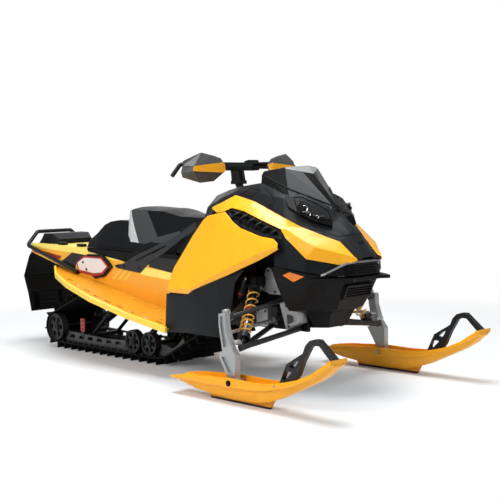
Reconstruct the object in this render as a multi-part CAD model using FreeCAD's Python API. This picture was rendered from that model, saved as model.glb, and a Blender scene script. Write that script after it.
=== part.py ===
"""Trail snowmobile: bodywork, tunnel, track and slide suspension, front suspension and steering.

The frame is +X forward, +Y to the rider's left and +Z up, in millimetres, with the ground at z = 0 and
the origin on the ground at the middle of the whole machine. Only the right side of a symmetric piece is
drawn, and the left side is its mirror image.
"""
import FreeCAD
import Part
import math
import os

V = FreeCAD.Vector
LEFT = V(0, 1, 0)

# Driving dimensions: places along the machine
SKI_BOLT_X = 905.0
SKI_BOLT_Z = 97.0
SKI_STANCE = 1077.0
DRIVE_AXLE_X = 335.0
DRIVE_AXLE_Z = 372.0
REAR_IDLER_X = -1185.0
REAR_IDLER_Z = 132.0
TUNNEL_REAR_X = -1400.0
TUNNEL_FRONT_X = 690.0

# Driving dimensions: tunnel and running boards
TUNNEL_WIDTH = 400.0
TUNNEL_BAY_X = 487.0
TUNNEL_WALL = 2.5
TUNNEL_TOP_FRONT_Z = 604.0
TUNNEL_TOP_REAR_Z = 666.0
BOARD_WALL = 3.0
HOOP_RADIUS = 12.5

# Driving dimensions: track
TRACK_WIDTH = 381.0
TRACK_PITCH_COUNT = 48
BELT_THICKNESS = 7.0
LUG_HEIGHT = 38.0
LUG_THICKNESS = 9.0
SPROCKET_RADIUS = 92.0
REAR_IDLER_RADIUS = 87.0
UPPER_IDLER_RADIUS = 62.0
RAIL_WHEEL_RADIUS = 68.0

# Driving dimensions: slide rails
RAIL_Y = 128.0
RAIL_WALL = 16.0
RAIL_HEIGHT = 62.0
RAIL_WINDOWS = 7

# Driving dimensions: panels and clearances
PANEL_WALL = 4.0
SEAT_GAP = 0.3
SEAM = 3.0

# Driving dimensions: steering and front suspension
POST_TILT = 30.0
POST_PIVOT = V(372, 0, 1010)
BAR_RADIUS = 11.0
POST_BEARING_DROP = 250.0
POST_RADIUS = 20.0
LOWER_BALL = V(900, -500, 247)
UPPER_BALL = V(838, -507, 385)
LOWER_ARM_FRONT = V(925, -122, 297)
LOWER_ARM_REAR = V(745, -122, 305)
UPPER_ARM_FRONT = V(905, -192, 446)
UPPER_ARM_REAR = V(655, -192, 446)
SHOCK_TOP = V(748, -255, 503)
SHOCK_BOTTOM = V(872, -468, 262)
RESERVOIR_TOP = V(684, -262, 533)
RESERVOIR_BOTTOM = V(640, -266, 443)
TIE_OUTER = V(794, -506, 300)
TIE_INNER = V(788, -176, 335)
RACK_RADIUS = 11.0
MOVING_GAP = 5.0
FRAME_Y = 130.0
FRAME_FOOT_Z = 282.0
FLOOR_Z = 306.0
BALL_BOSS_RADIUS = 16.0
KINGPIN_RADIUS = 9.0
FRAME_WALL = 18.0

# Driving dimensions: sockets for a cargo bag on the tunnel
ANCHOR_X = (-1110.0, -900.0)
ANCHOR_Y = 150.0
ANCHOR_HEIGHT = 16.0
ANCHOR_RADIUS = 22.0
ANCHOR_REACH = 16.0
ANCHOR_FLOOR = 4.0
ANCHOR_BORE = 12.0

NODES = {}


def keep(name, *solids):
    """Record the solids of one node."""
    NODES.setdefault(name, []).extend(solids)


def mirrored(shape):
    """The left-hand copy of a right-hand piece."""
    return shape.mirror(V(0, 0, 0), LEFT)


def keep_pair(name, solid):
    """Record a right-hand solid and its mirror image in one node."""
    keep(name, solid, mirrored(solid))


def polygon(points):
    """A planar face from corner points."""
    return Part.Face(Part.makePolygon(list(points) + [points[0]]))


def polygon_wire(points):
    """A closed wire through corner points."""
    return Part.makePolygon(list(points) + [points[0]])


def plate_xz(outline, y0, y1):
    """A plate between two planes across the machine, its outline given as (x, z) corners."""
    face = polygon([V(x, y0, z) for x, z in outline])
    return face.extrude(V(0, y1 - y0, 0))


def plate_xy(outline, z0, z1):
    """A level plate, its outline given as (x, y) corners."""
    face = polygon([V(x, y, z0) for x, y in outline])
    return face.extrude(V(0, 0, z1 - z0))


def box(x0, x1, y0, y1, z0, z1):
    """A block between two opposite corners."""
    return Part.makeBox(x1 - x0, y1 - y0, z1 - z0, V(x0, y0, z0))


def rod(start, end, radius):
    """A round bar between two points."""
    run = end - start
    return Part.makeCylinder(radius, run.Length, start, run)


def bent_rod(points, radius, bend):
    """A round bar along straight runs with a tangent arc at each corner."""
    edges = []
    at = points[0]
    for before, corner, after in zip(points, points[1:], points[2:]):
        into = (corner - before).normalize()
        out = (after - corner).normalize()
        turn = into.getAngle(out)
        reach = bend * math.tan(turn / 2)
        start = corner - into * reach
        end = corner + out * reach
        toward = (out - into).normalize()
        middle = corner + toward * (bend / math.cos(turn / 2) - bend)
        edges.append(Part.makeLine(at, start))
        edges.append(Part.Arc(start, middle, end).toShape())
        at = end
    edges.append(Part.makeLine(at, points[-1]))
    path = Part.Wire(edges)
    run = (points[1] - points[0]).normalize()
    section = Part.Wire(Part.makeCircle(radius, points[0], run))
    return path.makePipeShell([section], True, False, 2)


def inset(points, wall):
    """An open chain of 2-D points moved to its right-hand side by the wall thickness."""
    moved = []
    for i, (a, b) in enumerate(points):
        normals = []
        for j, k in ((i - 1, i), (i, i + 1)):
            if j >= 0 and k < len(points):
                du = points[k][0] - points[j][0]
                dv = points[k][1] - points[j][1]
                length = math.hypot(du, dv)
                normals.append((dv / length, -du / length))
        nu = sum(n[0] for n in normals) / len(normals)
        nv = sum(n[1] for n in normals) / len(normals)
        size = nu * nu + nv * nv
        moved.append((a + wall * nu / size, b + wall * nv / size))
    return moved


def skin_x(stations, wall, start=0.0):
    """A thin panel lofted through chains of (y, z) points at stations along X."""
    wires = []
    for x, chain in stations:
        outer = inset(chain, start) if start else chain
        inner = inset(chain, start + wall)
        ends = [V(x, y, z) for y, z in outer] + [V(x, y, z) for y, z in reversed(inner)]
        wires.append(Part.makePolygon(ends + [ends[0]]))
    return Part.makeLoft(wires, True, True)


def skin_z(stations, wall, start=0.0):
    """A thin panel lofted through chains of (x, y) points at heights along Z."""
    wires = []
    for z, chain in stations:
        outer = inset(chain, start) if start else chain
        inner = inset(chain, start + wall)
        ends = [V(x, y, z) for x, y in outer] + [V(x, y, z) for x, y in reversed(inner)]
        wires.append(Part.makePolygon(ends + [ends[0]]))
    return Part.makeLoft(wires, True, True)


def strip_panel(pairs, inward):
    """A thin panel between two edge lines, moved inward to give its wall."""
    wires = []
    for upper, lower in pairs:
        ends = [V(*upper), V(*lower), V(*lower) + inward, V(*upper) + inward]
        wires.append(Part.makePolygon(ends + [ends[0]]))
    return Part.makeLoft(wires, True, True)


def faceted(rows, inward):
    """A plate of flat facets through rows of points; inward gives the way to its inner face at a point."""
    inner = [[p + inward(p) for p in row] for row in rows]
    faces = []

    def patch(a, b, c, d):
        """Two triangles over four corners."""
        faces.append(polygon([a, b, c]))
        faces.append(polygon([a, c, d]))

    for i in range(len(rows) - 1):
        for j in range(len(rows[0]) - 1):
            patch(rows[i][j], rows[i + 1][j], rows[i + 1][j + 1], rows[i][j + 1])
            patch(inner[i][j], inner[i][j + 1], inner[i + 1][j + 1], inner[i + 1][j])
    for j in range(len(rows[0]) - 1):
        patch(rows[0][j], rows[0][j + 1], inner[0][j + 1], inner[0][j])
        patch(rows[-1][j], inner[-1][j], inner[-1][j + 1], rows[-1][j + 1])
    for i in range(len(rows) - 1):
        patch(rows[i][0], inner[i][0], inner[i + 1][0], rows[i + 1][0])
        patch(rows[i][-1], rows[i + 1][-1], inner[i + 1][-1], inner[i][-1])
    solid = Part.Solid(Part.makeShell(faces))
    if solid.Volume < 0:
        solid.reverse()
    return solid


def point_rows(rows):
    """Rows of (x, y, z) tuples as rows of vectors."""
    return [[V(*p) for p in row] for row in rows]


def biggest(shape):
    """The largest solid of a cut shape."""
    return max(shape.Solids, key=lambda solid: solid.Volume)


def along(line, x):
    """Height of a chain of (x, z) points at x, with straight runs between them."""
    ordered = sorted(line)
    if x <= ordered[0][0]:
        return ordered[0][1]
    for (x0, z0), (x1, z1) in zip(ordered, ordered[1:]):
        if x <= x1:
            return z0 + (z1 - z0) * (x - x0) / (x1 - x0)
    return ordered[-1][1]


def tunnel_top(x):
    """Height of the tunnel's upper face at x."""
    share = (x - TUNNEL_REAR_X) / (TUNNEL_FRONT_X - TUNNEL_REAR_X)
    return TUNNEL_TOP_REAR_Z + share * (TUNNEL_TOP_FRONT_Z - TUNNEL_TOP_REAR_Z)


BOARD_EDGE = [(235, -405, 262), (-90, -405, 309), (-461, -398, 380), (-760, -355, 440),
              (-960, -300, 484), (-1090, -222, 520)]
BOARD_RISE = 34.0


def make_tunnel():
    """The folded sheet tunnel with its two upright sides and the brackets that carry the rear arm."""
    half = TUNNEL_WIDTH / 2
    side = [(TUNNEL_FRONT_X, tunnel_top(TUNNEL_FRONT_X)), (TUNNEL_REAR_X, tunnel_top(TUNNEL_REAR_X)),
            (TUNNEL_REAR_X, tunnel_top(TUNNEL_REAR_X) - 60), (-1090, 534), (-700, 440), (-690, 350),
            (-515, 350), (-505, 410), (-461, 402), (235, 286), (470, 290), (TUNNEL_FRONT_X, 290)]
    outer = plate_xz(side, -half, half)
    hollow = [(TUNNEL_FRONT_X + 10, tunnel_top(TUNNEL_FRONT_X) - TUNNEL_WALL),
              (TUNNEL_REAR_X - 10, tunnel_top(TUNNEL_REAR_X) - TUNNEL_WALL),
              (TUNNEL_REAR_X - 10, 100), (TUNNEL_FRONT_X + 10, 100)]
    inner = plate_xz(hollow, -half + TUNNEL_WALL, half - TUNNEL_WALL)
    shell = outer.cut(inner)
    bay = box(TUNNEL_BAY_X, TUNNEL_FRONT_X + 10, -half + TUNNEL_WALL, half - TUNNEL_WALL, 500, 700)
    wall = box(TUNNEL_BAY_X - TUNNEL_WALL, TUNNEL_BAY_X, -half, half, 330, tunnel_top(TUNNEL_BAY_X))
    keep("tunnel", shell.cut(bay).fuse(wall).removeSplitter())


def make_boards():
    """Running boards: a sloping sheet with long drain slots and a tube along its outer edge."""
    half = TUNNEL_WIDTH / 2 + SEAT_GAP
    wires = []
    for x, y, z in BOARD_EDGE:
        outer = V(x, y, z)
        inner = V(x, -half, z + BOARD_RISE * (-y - half) / 200.0)
        low = V(0, 0, -BOARD_WALL)
        wires.append(Part.makePolygon([outer, inner, inner + low, outer + low, outer]))
    board = Part.makeLoft(wires, True, True)
    for i in range(9):
        x = 120 - i * 118
        edge_y = along([(p[0], p[1]) for p in BOARD_EDGE], x)
        if edge_y < -330:
            slot = box(x - 30, x + 30, edge_y + 40, edge_y + 48, 200, 600)
            board = board.cut(slot)
    wires = []
    for x, y, z in BOARD_EDGE:
        ends = [V(x, y - 12, z + 10), V(x, y + 4, z + 14), V(x, y + 4, z - 18), V(x, y - 12, z - 18)]
        wires.append(Part.makePolygon(ends + [ends[0]]))
    edge = Part.makeLoft(wires, True, True)
    keep_pair("board_edges", edge)
    keep_pair("running_boards", biggest(board.cut(edge)))


def seat_form(grow):
    """The seat's solid, grown all round by a clearance."""
    sections = [(-452, 118, 884, 128, 700), (-380, 132, 889, 158, 690), (-150, 122, 878, 165, 672),
                (40, 108, 846, 150, 668), (200, 92, 838, 120, 720), (262, 84, 850, 100, 770)]
    wires = []
    for x, top, top_z, low, low_z in sections:
        at = x + (grow if x > 0 else -grow) if x in (sections[0][0], sections[-1][0]) else x
        side = top + grow
        crown = top_z + grow
        points = [V(at, -low - grow, low_z - grow), V(at, -side, crown - 16), V(at, -side + 24, crown),
                  V(at, side - 24, crown), V(at, side, crown - 16), V(at, low + grow, low_z - grow)]
        wires.append(Part.makePolygon(points + [points[0]]))
    return Part.makeLoft(wires, True, True)


def make_seat():
    """The padded seat."""
    keep("seat", seat_form(0.0))


def make_storage():
    """The storage box and seat base on top of the tunnel."""
    wires = []
    for x, half_low, half_top, top in [(-846, 148, 126, 690), (-770, 164, 118, 735), (-700, 172, 112, 786),
                                       (-640, 176, 108, 806), (-560, 180, 104, 814), (-480, 180, 104, 810),
                                       (-455, 180, 128, 740), (-150, 180, 165, 690), (40, 175, 150, 680)]:
        base = tunnel_top(x) + SEAT_GAP
        points = [V(x, -half_low, base), V(x, -half_top, top), V(x, half_top, top), V(x, half_low, base)]
        wires.append(Part.makePolygon(points + [points[0]]))
    box_body = Part.makeLoft(wires, True, True)
    keep("storage_box", box_body.cut(seat_form(SEAT_GAP)))


def make_seat_brackets():
    """Bolted trim brackets that run from the tank down to the tunnel's sides."""
    outline = [(250, 808), (262, 772), (119, 712), (-12, 642), (-149, 582), (-244, 520), (-330, 526),
               (-470, 540), (-482, 556), (-403, 566), (-305, 608), (-73, 682), (60, 722)]
    face = -TUNNEL_WIDTH / 2 - SEAT_GAP
    plate = plate_xz(outline, face - 5, face)
    slot = plate_xz([(0, 684), (-4, 672), (-280, 582), (-276, 594)], face - 10, face + 5)
    keep_pair("seat_brackets", plate.cut(slot))


def make_tank():
    """The fuel tank and its knee panels between the seat and the console."""
    wires = []
    for x, half_low, low, half_mid, mid, half_top, top in [
            (41, 172, 640, 168, 700, 100, 820), (200, 200, 630, 200, 740, 60, 835),
            (270, 235, 630, 228, 760, 80, 850), (326, 250, 630, 232, 790, 120, 880)]:
        points = [V(x, -half_low, low), V(x, -half_mid, mid), V(x, -half_top, top), V(x, half_top, top),
                  V(x, half_mid, mid), V(x, half_low, low)]
        wires.append(Part.makePolygon(points + [points[0]]))
    tank = Part.makeLoft(wires, True, True).cut(seat_form(SEAT_GAP))
    for bracket in NODES["seat_brackets"]:
        tank = tank.cut(bracket)
    base = box(41, 326, -150, 150, tunnel_top(41) + SEAT_GAP, 635)
    keep("tank", tank.fuse(base))


SIDE_STATIONS = [(180, [(-268, 880), (-415, 470), (-405, 440)]),
                 (433, [(-292, 880), (-412, 487), (-402, 455)]),
                 (573, [(-281, 880), (-400, 545), (-388, 510)]),
                 (700, [(-278, 880), (-383, 600), (-370, 565)]),
                 (875, [(-255, 880), (-348, 672), (-336, 640)]),
                 (1000, [(-240, 880), (-322, 708), (-308, 672)])]
SIDE_LOWER_EDGE = [(258, 458), (410, 456), (457, 481), (671, 558), (875, 642), (974, 690)]
SIDE_UPPER_EDGE = [(968, 716), (935, 738), (842, 750), (708, 787), (650, 815), (573, 865)]
SIDE_REAR_EDGE = [(461, 846), (433, 823), (372, 743), (315, 648), (276, 583), (262, 520)]


def make_side_panels():
    """Upper side panels, one large moulding a side with a folded lower edge."""
    outline = SIDE_LOWER_EDGE + SIDE_UPPER_EDGE + SIDE_REAR_EDGE
    master = skin_x([(x, [(y, z) for y, z in chain]) for x, chain in SIDE_STATIONS], -PANEL_WALL)
    window = plate_xz(outline, -500, -150)
    keep_pair("side_panels", master.common(window))


def make_lower_panels():
    """Lower side panels below the folded edge, with a flange behind it."""
    stations = [(170, [(-404, 480), (-408, 440), (-388, 240)]),
                (433, [(-402, 500), (-398, 440), (-376, 240)]),
                (600, [(-384, 570), (-372, 440), (-352, 240)]),
                (700, [(-362, 610), (-340, 440), (-322, 240)]),
                (790, [(-342, 650), (-310, 440), (-290, 240)])]
    skin = skin_x(stations, -PANEL_WALL)
    lower = [(x, z - SEAM) for x, z in SIDE_LOWER_EDGE if x < 740]
    outline = [(244, 450)] + lower[1:] + [(762, 592), (703, 524), (640, 300), (580, 246), (390, 254),
                                           (200, 246)]
    skin = skin.common(plate_xz(outline, -500, -150))
    flange = skin_x(SIDE_STATIONS, -PANEL_WALL, -(PANEL_WALL + SEAT_GAP))
    band = [(x, z + 22) for x, z in SIDE_LOWER_EDGE if x < 740]
    under = [(x, z - SEAM - 4) for x, z in reversed(lower[1:])]
    band = [(270, 480)] + band[1:] + [(740, 600), (740, 575)] + under + [(262, 446)]
    flange = flange.common(plate_xz(band, -500, -150))
    panel = skin.fuse(flange)
    for board in NODES["running_boards"] + NODES["board_edges"]:
        panel = panel.cut(board)
    keep_pair("lower_panels", biggest(panel))


STRIP_ROWS = [
    [(437, -242, 889), (492, -214, 917), (547, -185, 946), (600, -190, 935), (700, -200, 913), (875, -205, 844),
     (1000, -197, 792), (1060, -165, 765), (1108, -132, 741), (1158, -98, 718), (1235, -88, 650)],
    [(436, -246, 886), (492, -242, 890), (550, -228, 909), (596, -225, 911), (691, -231, 892), (838, -240, 838),
     (968, -262, 783), (1035, -246, 742), (1112, -222, 698), (1196, -140, 668), (1252, -93, 645)],
    [(433, -247, 881), (490, -265, 860), (551, -266, 867), (590, -256, 884), (680, -258, 868), (800, -267, 828),
     (948, -275, 782), (981, -280, 743), (1081, -250, 645), (1200, -132, 611), (1255, -92, 632)]]


def make_strips():
    """The bright strips that run from the console forward round the nose, creased along their length."""
    upper, crease, lower = STRIP_ROWS
    inward = V(-1.0, PANEL_WALL, -1.5)
    keep_pair("nose_strips", strip_panel(zip(upper, crease), inward).fuse(strip_panel(zip(crease, lower), inward)))


HOOD_STATIONS = [(330, [(-240, 750), (-186, 885), (-118, 945), (0, 962)]),
                 (433, [(-262, 842), (-196, 925), (-128, 972), (0, 990)]),
                 (545, [(-184, 943), (-165, 970), (-138, 990), (0, 1000)]),
                 (700, [(-199, 909), (-186, 960), (-160, 1002), (0, 1010)]),
                 (800, [(-202, 870), (-188, 935), (-150, 984), (0, 1004)]),
                 (890, [(-203, 834), (-180, 925), (-136, 962), (0, 990)]),
                 (960, [(-199, 804), (-160, 880), (-104, 930), (0, 955)]),
                 (1036, [(-184, 764), (-125, 815), (-60, 872), (0, 896)]),
                 (1085, [(-153, 746), (-90, 782), (-36, 822), (0, 842)]),
                 (1163, [(-98, 711), (-60, 735), (-36, 762), (0, 768)]),
                 (1246, [(-89, 630), (-60, 638), (-30, 646), (0, 647)])]
HEADLIGHT_DEPTH = 26.0
PROJECTOR_RADIUS = 19.0


def headlight_block():
    """The right headlight's lens and housing as one block sunk into the hood."""
    rows = point_rows([[(888, -180, 941), (960, -156, 918), (1030, -110, 872), (1082, -66, 838)],
                       [(905, -192, 915), (975, -176, 884), (1045, -132, 842), (1100, -82, 814)],
                       [(930, -199, 886), (990, -184, 850), (1050, -144, 812), (1104, -88, 792)]])
    return faceted(rows, lambda p: V(-16, HEADLIGHT_DEPTH * 0.6, -16))


def make_hood():
    """Console and hood in one shell between the two strips, with a pocket for each headlight."""
    full = [(x, chain + [(-y, z) for y, z in reversed(chain[:-1])]) for x, chain in HOOD_STATIONS]
    shell = skin_x(full, PANEL_WALL)
    for strip in NODES["nose_strips"]:
        shell = shell.cut(strip)
    axis = post_axis()
    shell = shell.cut(rod(POST_PIVOT - axis * 150, POST_PIVOT + axis * 150, POST_RADIUS + MOVING_GAP))
    lamp = headlight_block()
    eye = V(980, -170, 874)
    lamp = lamp.fuse(rod(eye, eye + V(9, -13, 5), PROJECTOR_RADIUS))
    shell = shell.cut(lamp).cut(mirrored(lamp))
    keep("hood", biggest(shell))
    keep_pair("headlights", lamp)


def hood_form():
    """The space under the hood's outer face, for pieces that seat on it."""
    wires = []
    for x, chain in HOOD_STATIONS:
        ring = chain + [(-y, z) for y, z in reversed(chain[:-1])] + [(150, 600), (-150, 600)]
        points = [V(x, y, z) for y, z in ring]
        wires.append(Part.makePolygon(points + [points[0]]))
    return Part.makeLoft(wires, True, True)


SCREEN_ROWS = [[(699, -148, 1040), (714, -146, 1060), (829, -112, 1076), (874, 0, 1083)],
               [(702, -150, 1034), (717, -150, 1054), (833, -118, 1070), (913, 0, 1041)],
               [(704, -155, 1010), (722, -156, 1008), (877, -148, 979), (1040, 0, 902)]]
SCREEN_DIP = 60.0


def make_windshield():
    """The low pointed windshield: side facets, two flat fronts that meet on the centre line and a top lip."""
    rows = []
    for row in point_rows(SCREEN_ROWS):
        rows.append(row + [V(p.x, -p.y, p.z) for p in reversed(row[:-1])])
    rows[2] = [foot + (foot - edge).normalize() * SCREEN_DIP for edge, foot in zip(rows[1], rows[2])]
    screen = faceted(rows, lambda p: V(-3.0, -0.022 * p.y, -2.5))
    keep("windshield", biggest(screen.cut(hood_form())))


VENT_RIBS = 6
VENT_RIB_RADIUS = 9.0
VENT_TOP = [(600, 880), (700, 857), (842, 811), (948, 776), (968, 734)]
VENT_FOOT = [(566, 866), (650, 818), (708, 790), (842, 752), (935, 740)]


def make_vents():
    """Louvred vents between the strips and the side panels."""
    stations = [(556, [(-266, 870), (-270, 866)]), (600, [(-256, 880), (-290, 848)]),
                (700, [(-258, 858), (-307, 793)]), (842, [(-270, 812), (-308, 754)]),
                (950, [(-276, 776), (-300, 738)]), (975, [(-279, 748), (-298, 722)])]
    outline = [(566, 866), (600, 880), (700, 857), (842, 811), (948, 776), (968, 734), (935, 740), (842, 752),
               (708, 790), (650, 818)]
    window = plate_xz(outline, -500, -150)
    floor = skin_x(stations, -3.0, -20.0).common(window)
    lip = skin_x(stations, -17.0, -5.0).common(window)
    core = [(590, 862), (600, 868), (700, 843), (842, 798), (935, 766), (945, 746), (935, 750), (842, 764),
            (708, 804), (655, 826)]
    duct = floor.fuse(lip.cut(plate_xz(core, -500, -150)))
    for i in range(VENT_RIBS):
        x = 632 + i * 52
        top = along(VENT_TOP, x + 30)
        foot = along(VENT_FOOT, x - 8)
        path = [V(x + 30, -246, top - 4), V(x + 12, -294 + i, top - 20), V(x - 8, -282, foot + 4)]
        rib = bent_rod(path, VENT_RIB_RADIUS, 18)
        duct = duct.fuse(rib)
    for neighbour in NODES["side_panels"] + NODES["nose_strips"]:
        duct = duct.cut(neighbour)
    keep_pair("vent_ducts", biggest(duct))


def make_cheeks():
    """Dark cheeks between the strips and the belly, their upper edges tucked behind the strips."""
    tuck = V(-4, PANEL_WALL + SEAT_GAP, 8)
    pairs = [((925, -286, 756), (925, -303, 610)), (V(981, -280, 743) + tuck, (1000, -290, 598)),
             (V(1081, -250, 645) + tuck, (1080, -254, 584)), (V(1160, -177, 622) + tuck, (1156, -200, 568)),
             (V(1200, -132, 611) + tuck, (1210, -124, 560))]
    cheek = strip_panel(pairs, V(-2.0, PANEL_WALL, 0))
    for neighbour in NODES["vent_ducts"] + NODES["nose_strips"]:
        cheek = cheek.cut(neighbour)
    keep_pair("cheeks", biggest(cheek))


BELLY_STATIONS = [(612, [(922, -302), (1080, -250), (1156, -196), (1208, -122)]),
                  (560, [(922, -302), (1080, -250), (1156, -196), (1208, -122)]),
                  (530, [(936, -303), (1075, -250), (1146, -190), (1192, -124)]),
                  (440, [(966, -284), (1056, -226), (1114, -162), (1154, -104)]),
                  (398, [(978, -262), (1040, -210), (1090, -152), (1130, -96)]),
                  (376, [(985, -150), (1018, -132), (1054, -110), (1082, -86)]),
                  (FLOOR_Z, [(990, -108), (1012, -98), (1034, -82), (1052, -66)])]
REFLECTOR = [(968, 567), (1001, 582), (1072, 563), (1021, 537)]


def make_belly():
    """Belly pan: a tapering shell round the nose with a closed floor and a slatted lower grille."""
    full = [(z, chain + [(x, -y) for x, y in reversed(chain)]) for z, chain in BELLY_STATIONS]
    pan = skin_z(full, -PANEL_WALL)
    pan = pan.cut(plate_xz([(900, 620), (900, 610), (1080, 582), (1156, 566), (1166, 560), (1230, 560), (1230, 620)],
                           -400, 400))
    lowest = full[-1][1]
    between = FRAME_Y - FRAME_WALL - SEAT_GAP
    outline = [(500, -between), (990, -between)] + lowest + [(990, between), (500, between)]
    floor = plate_xy(outline, FLOOR_Z - PANEL_WALL, FLOOR_Z)
    pan = pan.fuse(floor)
    for cheek in NODES["cheeks"]:
        pan = pan.cut(cheek)
    pan = biggest(pan)
    window = plate_xz(REFLECTOR, -400, -150)
    keep_pair("side_reflectors", skin_z(BELLY_STATIONS[:4], -3.0, 4.0).common(window).cut(pan))
    face = [(530, [(1194, -98), (1194, 98)]), (440, [(1156, -98), (1156, 98)])]
    grille = skin_z(face, 22.0, -8.0)
    grille = grille.common(box(1100, 1250, -98, 98, 446, 512))
    pan = pan.cut(box(1100, 1190, -92, 92, 450, 508))
    for z in (462, 474, 486, 498):
        groove = [(1156 + (z - 440) * 0.42, -88), (1250, -88), (1250, 88), (1156 + (z - 440) * 0.42, 88)]
        grille = grille.cut(plate_xy(groove, z - 4, z + 4))
    keep("belly_pan", biggest(pan.fuse(grille)))


def make_bumper():
    """The front bumper's flat lip."""
    outer = [(1060, -250), (1110, -240), (1190, -190), (1268, -134), (1262, -118), (1240, -96)]
    inner = [(1150, -96), (1120, -150), (1060, -200), (990, -250)]
    outline = outer + [(x, -y) for x, y in reversed(outer)]
    outline += [(x, -y) for x, y in reversed(inner)] + inner
    loop = plate_xy(outline, 536, 552)
    for lens in NODES["side_reflectors"]:
        loop = loop.cut(lens)
    rings = loop.cut(NODES["belly_pan"][0]).Solids
    keep("front_bumper", max(rings, key=lambda ring: ring.BoundBox.XMax))


BAR_PATH = [(1138, -214, 568), (1155, -203, 574), (1219, -120, 621), (1240, -84, 626)]


def make_nose():
    """Grille under the strips and the light bar along its upper edge."""
    face = [(1150, -196), (1214, -112), (1228, -78)]
    back = [(1190, -78), (1176, -112), (1120, -186)]
    outline = face + [(x, -y) for x, y in reversed(face)] + [(x, -y) for x, y in reversed(back)] + back
    grille = plate_xy(outline, 560 + SEAT_GAP, 618)
    for z in (569, 580, 591, 602):
        front = [(x + 20, y * 1.02) for x, y in face]
        rear = [(x - 9, y * 0.97) for x, y in reversed(face)]
        ring = front + [(x, -y) for x, y in reversed(front)] + [(x, -y) for x, y in reversed(rear)] + rear
        grille = grille.cut(plate_xy(ring, z, z + 6))
    slope = plate_xz([(1100, 640), (1240, 640), (1240, 612), (1204, 612), (1100, 544)], -300, -104)
    grille = grille.cut(slope).cut(mirrored(slope))
    for neighbour in NODES["cheeks"] + NODES["nose_strips"] + NODES["belly_pan"] + NODES["hood"]:
        grille = grille.cut(neighbour)
    keep("nose_grille", biggest(grille))
    path = BAR_PATH + [(x, -y, z) for x, y, z in reversed(BAR_PATH)]
    bar = faceted(point_rows([[(x, y, z + 4) for x, y, z in path], [(x + 4, y, z - 1) for x, y, z in path],
                              [(x, y, z - 6) for x, y, z in path]]), lambda p: V(-7, -0.02 * p.y, 0))
    for name in ("cheeks", "nose_strips", "hood", "nose_grille", "belly_pan"):
        for neighbour in NODES[name]:
            bar = bar.cut(neighbour)
    keep("light_bar", biggest(bar))


def make_bulkhead():
    """Cast bulkhead: two frames joined by a cross wall, with bosses for the arms and shocks."""
    outline = [(500, FRAME_FOOT_Z), (972, FRAME_FOOT_Z), (976, 340), (940, 470), (900, 560), (800, 590),
               (690, 560), (500, 420)]
    inner_face = -FRAME_Y + FRAME_WALL
    frame = plate_xz(outline, -FRAME_Y, inner_face)
    for x, z, reach, half in ((UPPER_ARM_FRONT.x, UPPER_ARM_FRONT.z, 200, 17),
                              (UPPER_ARM_REAR.x, UPPER_ARM_REAR.z, TUNNEL_WIDTH / 2 - TUNNEL_WALL, 17),
                              (SHOCK_TOP.x, SHOCK_TOP.z + 22, 274, 22)):
        frame = frame.fuse(box(x - half, x + half, -reach, inner_face, z - half, z + half))
    frame = frame.cut(rod(V(TIE_INNER.x, -300, TIE_INNER.z), V(TIE_INNER.x, 0, TIE_INNER.z),
                          RACK_RADIUS + SEAT_GAP))
    wall = box(640, 652, inner_face, -inner_face, FLOOR_Z + SEAT_GAP, 325)
    tie = box(560, 572, inner_face, -inner_face, FRAME_FOOT_Z, FLOOR_Z - PANEL_WALL - SEAT_GAP)
    wall = wall.fuse(tie)
    keep("bulkhead", frame.fuse(wall).fuse(mirrored(frame)).removeSplitter())
    engine_half = -inner_face - SEAT_GAP
    keep("engine", box(TUNNEL_BAY_X + 10, 775, -engine_half, engine_half, 330, 700))


CASTING_Y = -200.0
CASTING_FACE = 8.0
CASTING_BOLT_RADIUS = 5.0


def make_castings():
    """Cast brackets outside the frames: the shock towers, the lower front feet and the rack's blocks."""
    face = (CASTING_Y - CASTING_FACE, CASTING_Y)
    tower = plate_xz([(728, 484), (780, 590), (806, 590), (880, 462), (800, 462)], *face)
    tower = tower.fuse(plate_xz([(786, 590), (806, 590), (846, 520), (826, 520)], face[0], -FRAME_Y))
    tower = tower.fuse(box(780, 806, CASTING_Y, -FRAME_Y, 462, 486))
    foot = plate_xz([(852, 432), (884, 436), (930, 392), (968, 388), (970, 330), (896, 296), (880, 340)],
                    CASTING_Y, -FRAME_Y)
    foot = foot.cut(plate_xz([(902, 372), (946, 364), (952, 338), (905, 320)], CASTING_Y - 1, CASTING_Y + 40))
    block = box(692, 770, CASTING_Y, -FRAME_Y, 300, 388)
    for x, z in ((704, 374), (756, 374), (704, 314), (756, 314)):
        block = block.cut(rod(V(x, CASTING_Y - 1, z), V(x, CASTING_Y + 8, z), CASTING_BOLT_RADIUS))
    inner_end = V(TIE_INNER.x, 0, TIE_INNER.z)
    for solid in (tower, foot, block):
        solid = solid.cut(rod(inner_end - LEFT * 300, inner_end, RACK_RADIUS + MOVING_GAP))
        keep_pair("bulkhead_castings", biggest(solid.cut(NODES["bulkhead"][0])))


def kingpin():
    """Unit direction of the steered spindle's axis, upward."""
    return (UPPER_BALL - LOWER_BALL).normalize()


def arm_form(ball, front, rear, radius):
    """Two-legged suspension arm."""
    return rod(ball, front, radius).fuse(rod(ball, rear, radius))


def arm_with_boss(ball, front, rear, radius):
    """Suspension arm whose outer boss holds the spindle's stud."""
    axis = kingpin()
    boss = rod(ball - axis * 14, ball + axis * 14, BALL_BOSS_RADIUS)
    bore = rod(ball - axis * 30, ball + axis * 30, KINGPIN_RADIUS + SEAT_GAP)
    arm = arm_form(ball, front, rear, radius).fuse(boss).cut(bore)
    for carrier in NODES["bulkhead"] + NODES["tunnel"] + NODES["bulkhead_castings"]:
        arm = arm.cut(carrier)
    return biggest(arm)


SPRING_SEAT_RADIUS = 31.0
SPRING_RADIUS = 30.0
SPRING_TURNS = 5
SPRING_GROOVE = 3.6


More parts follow.
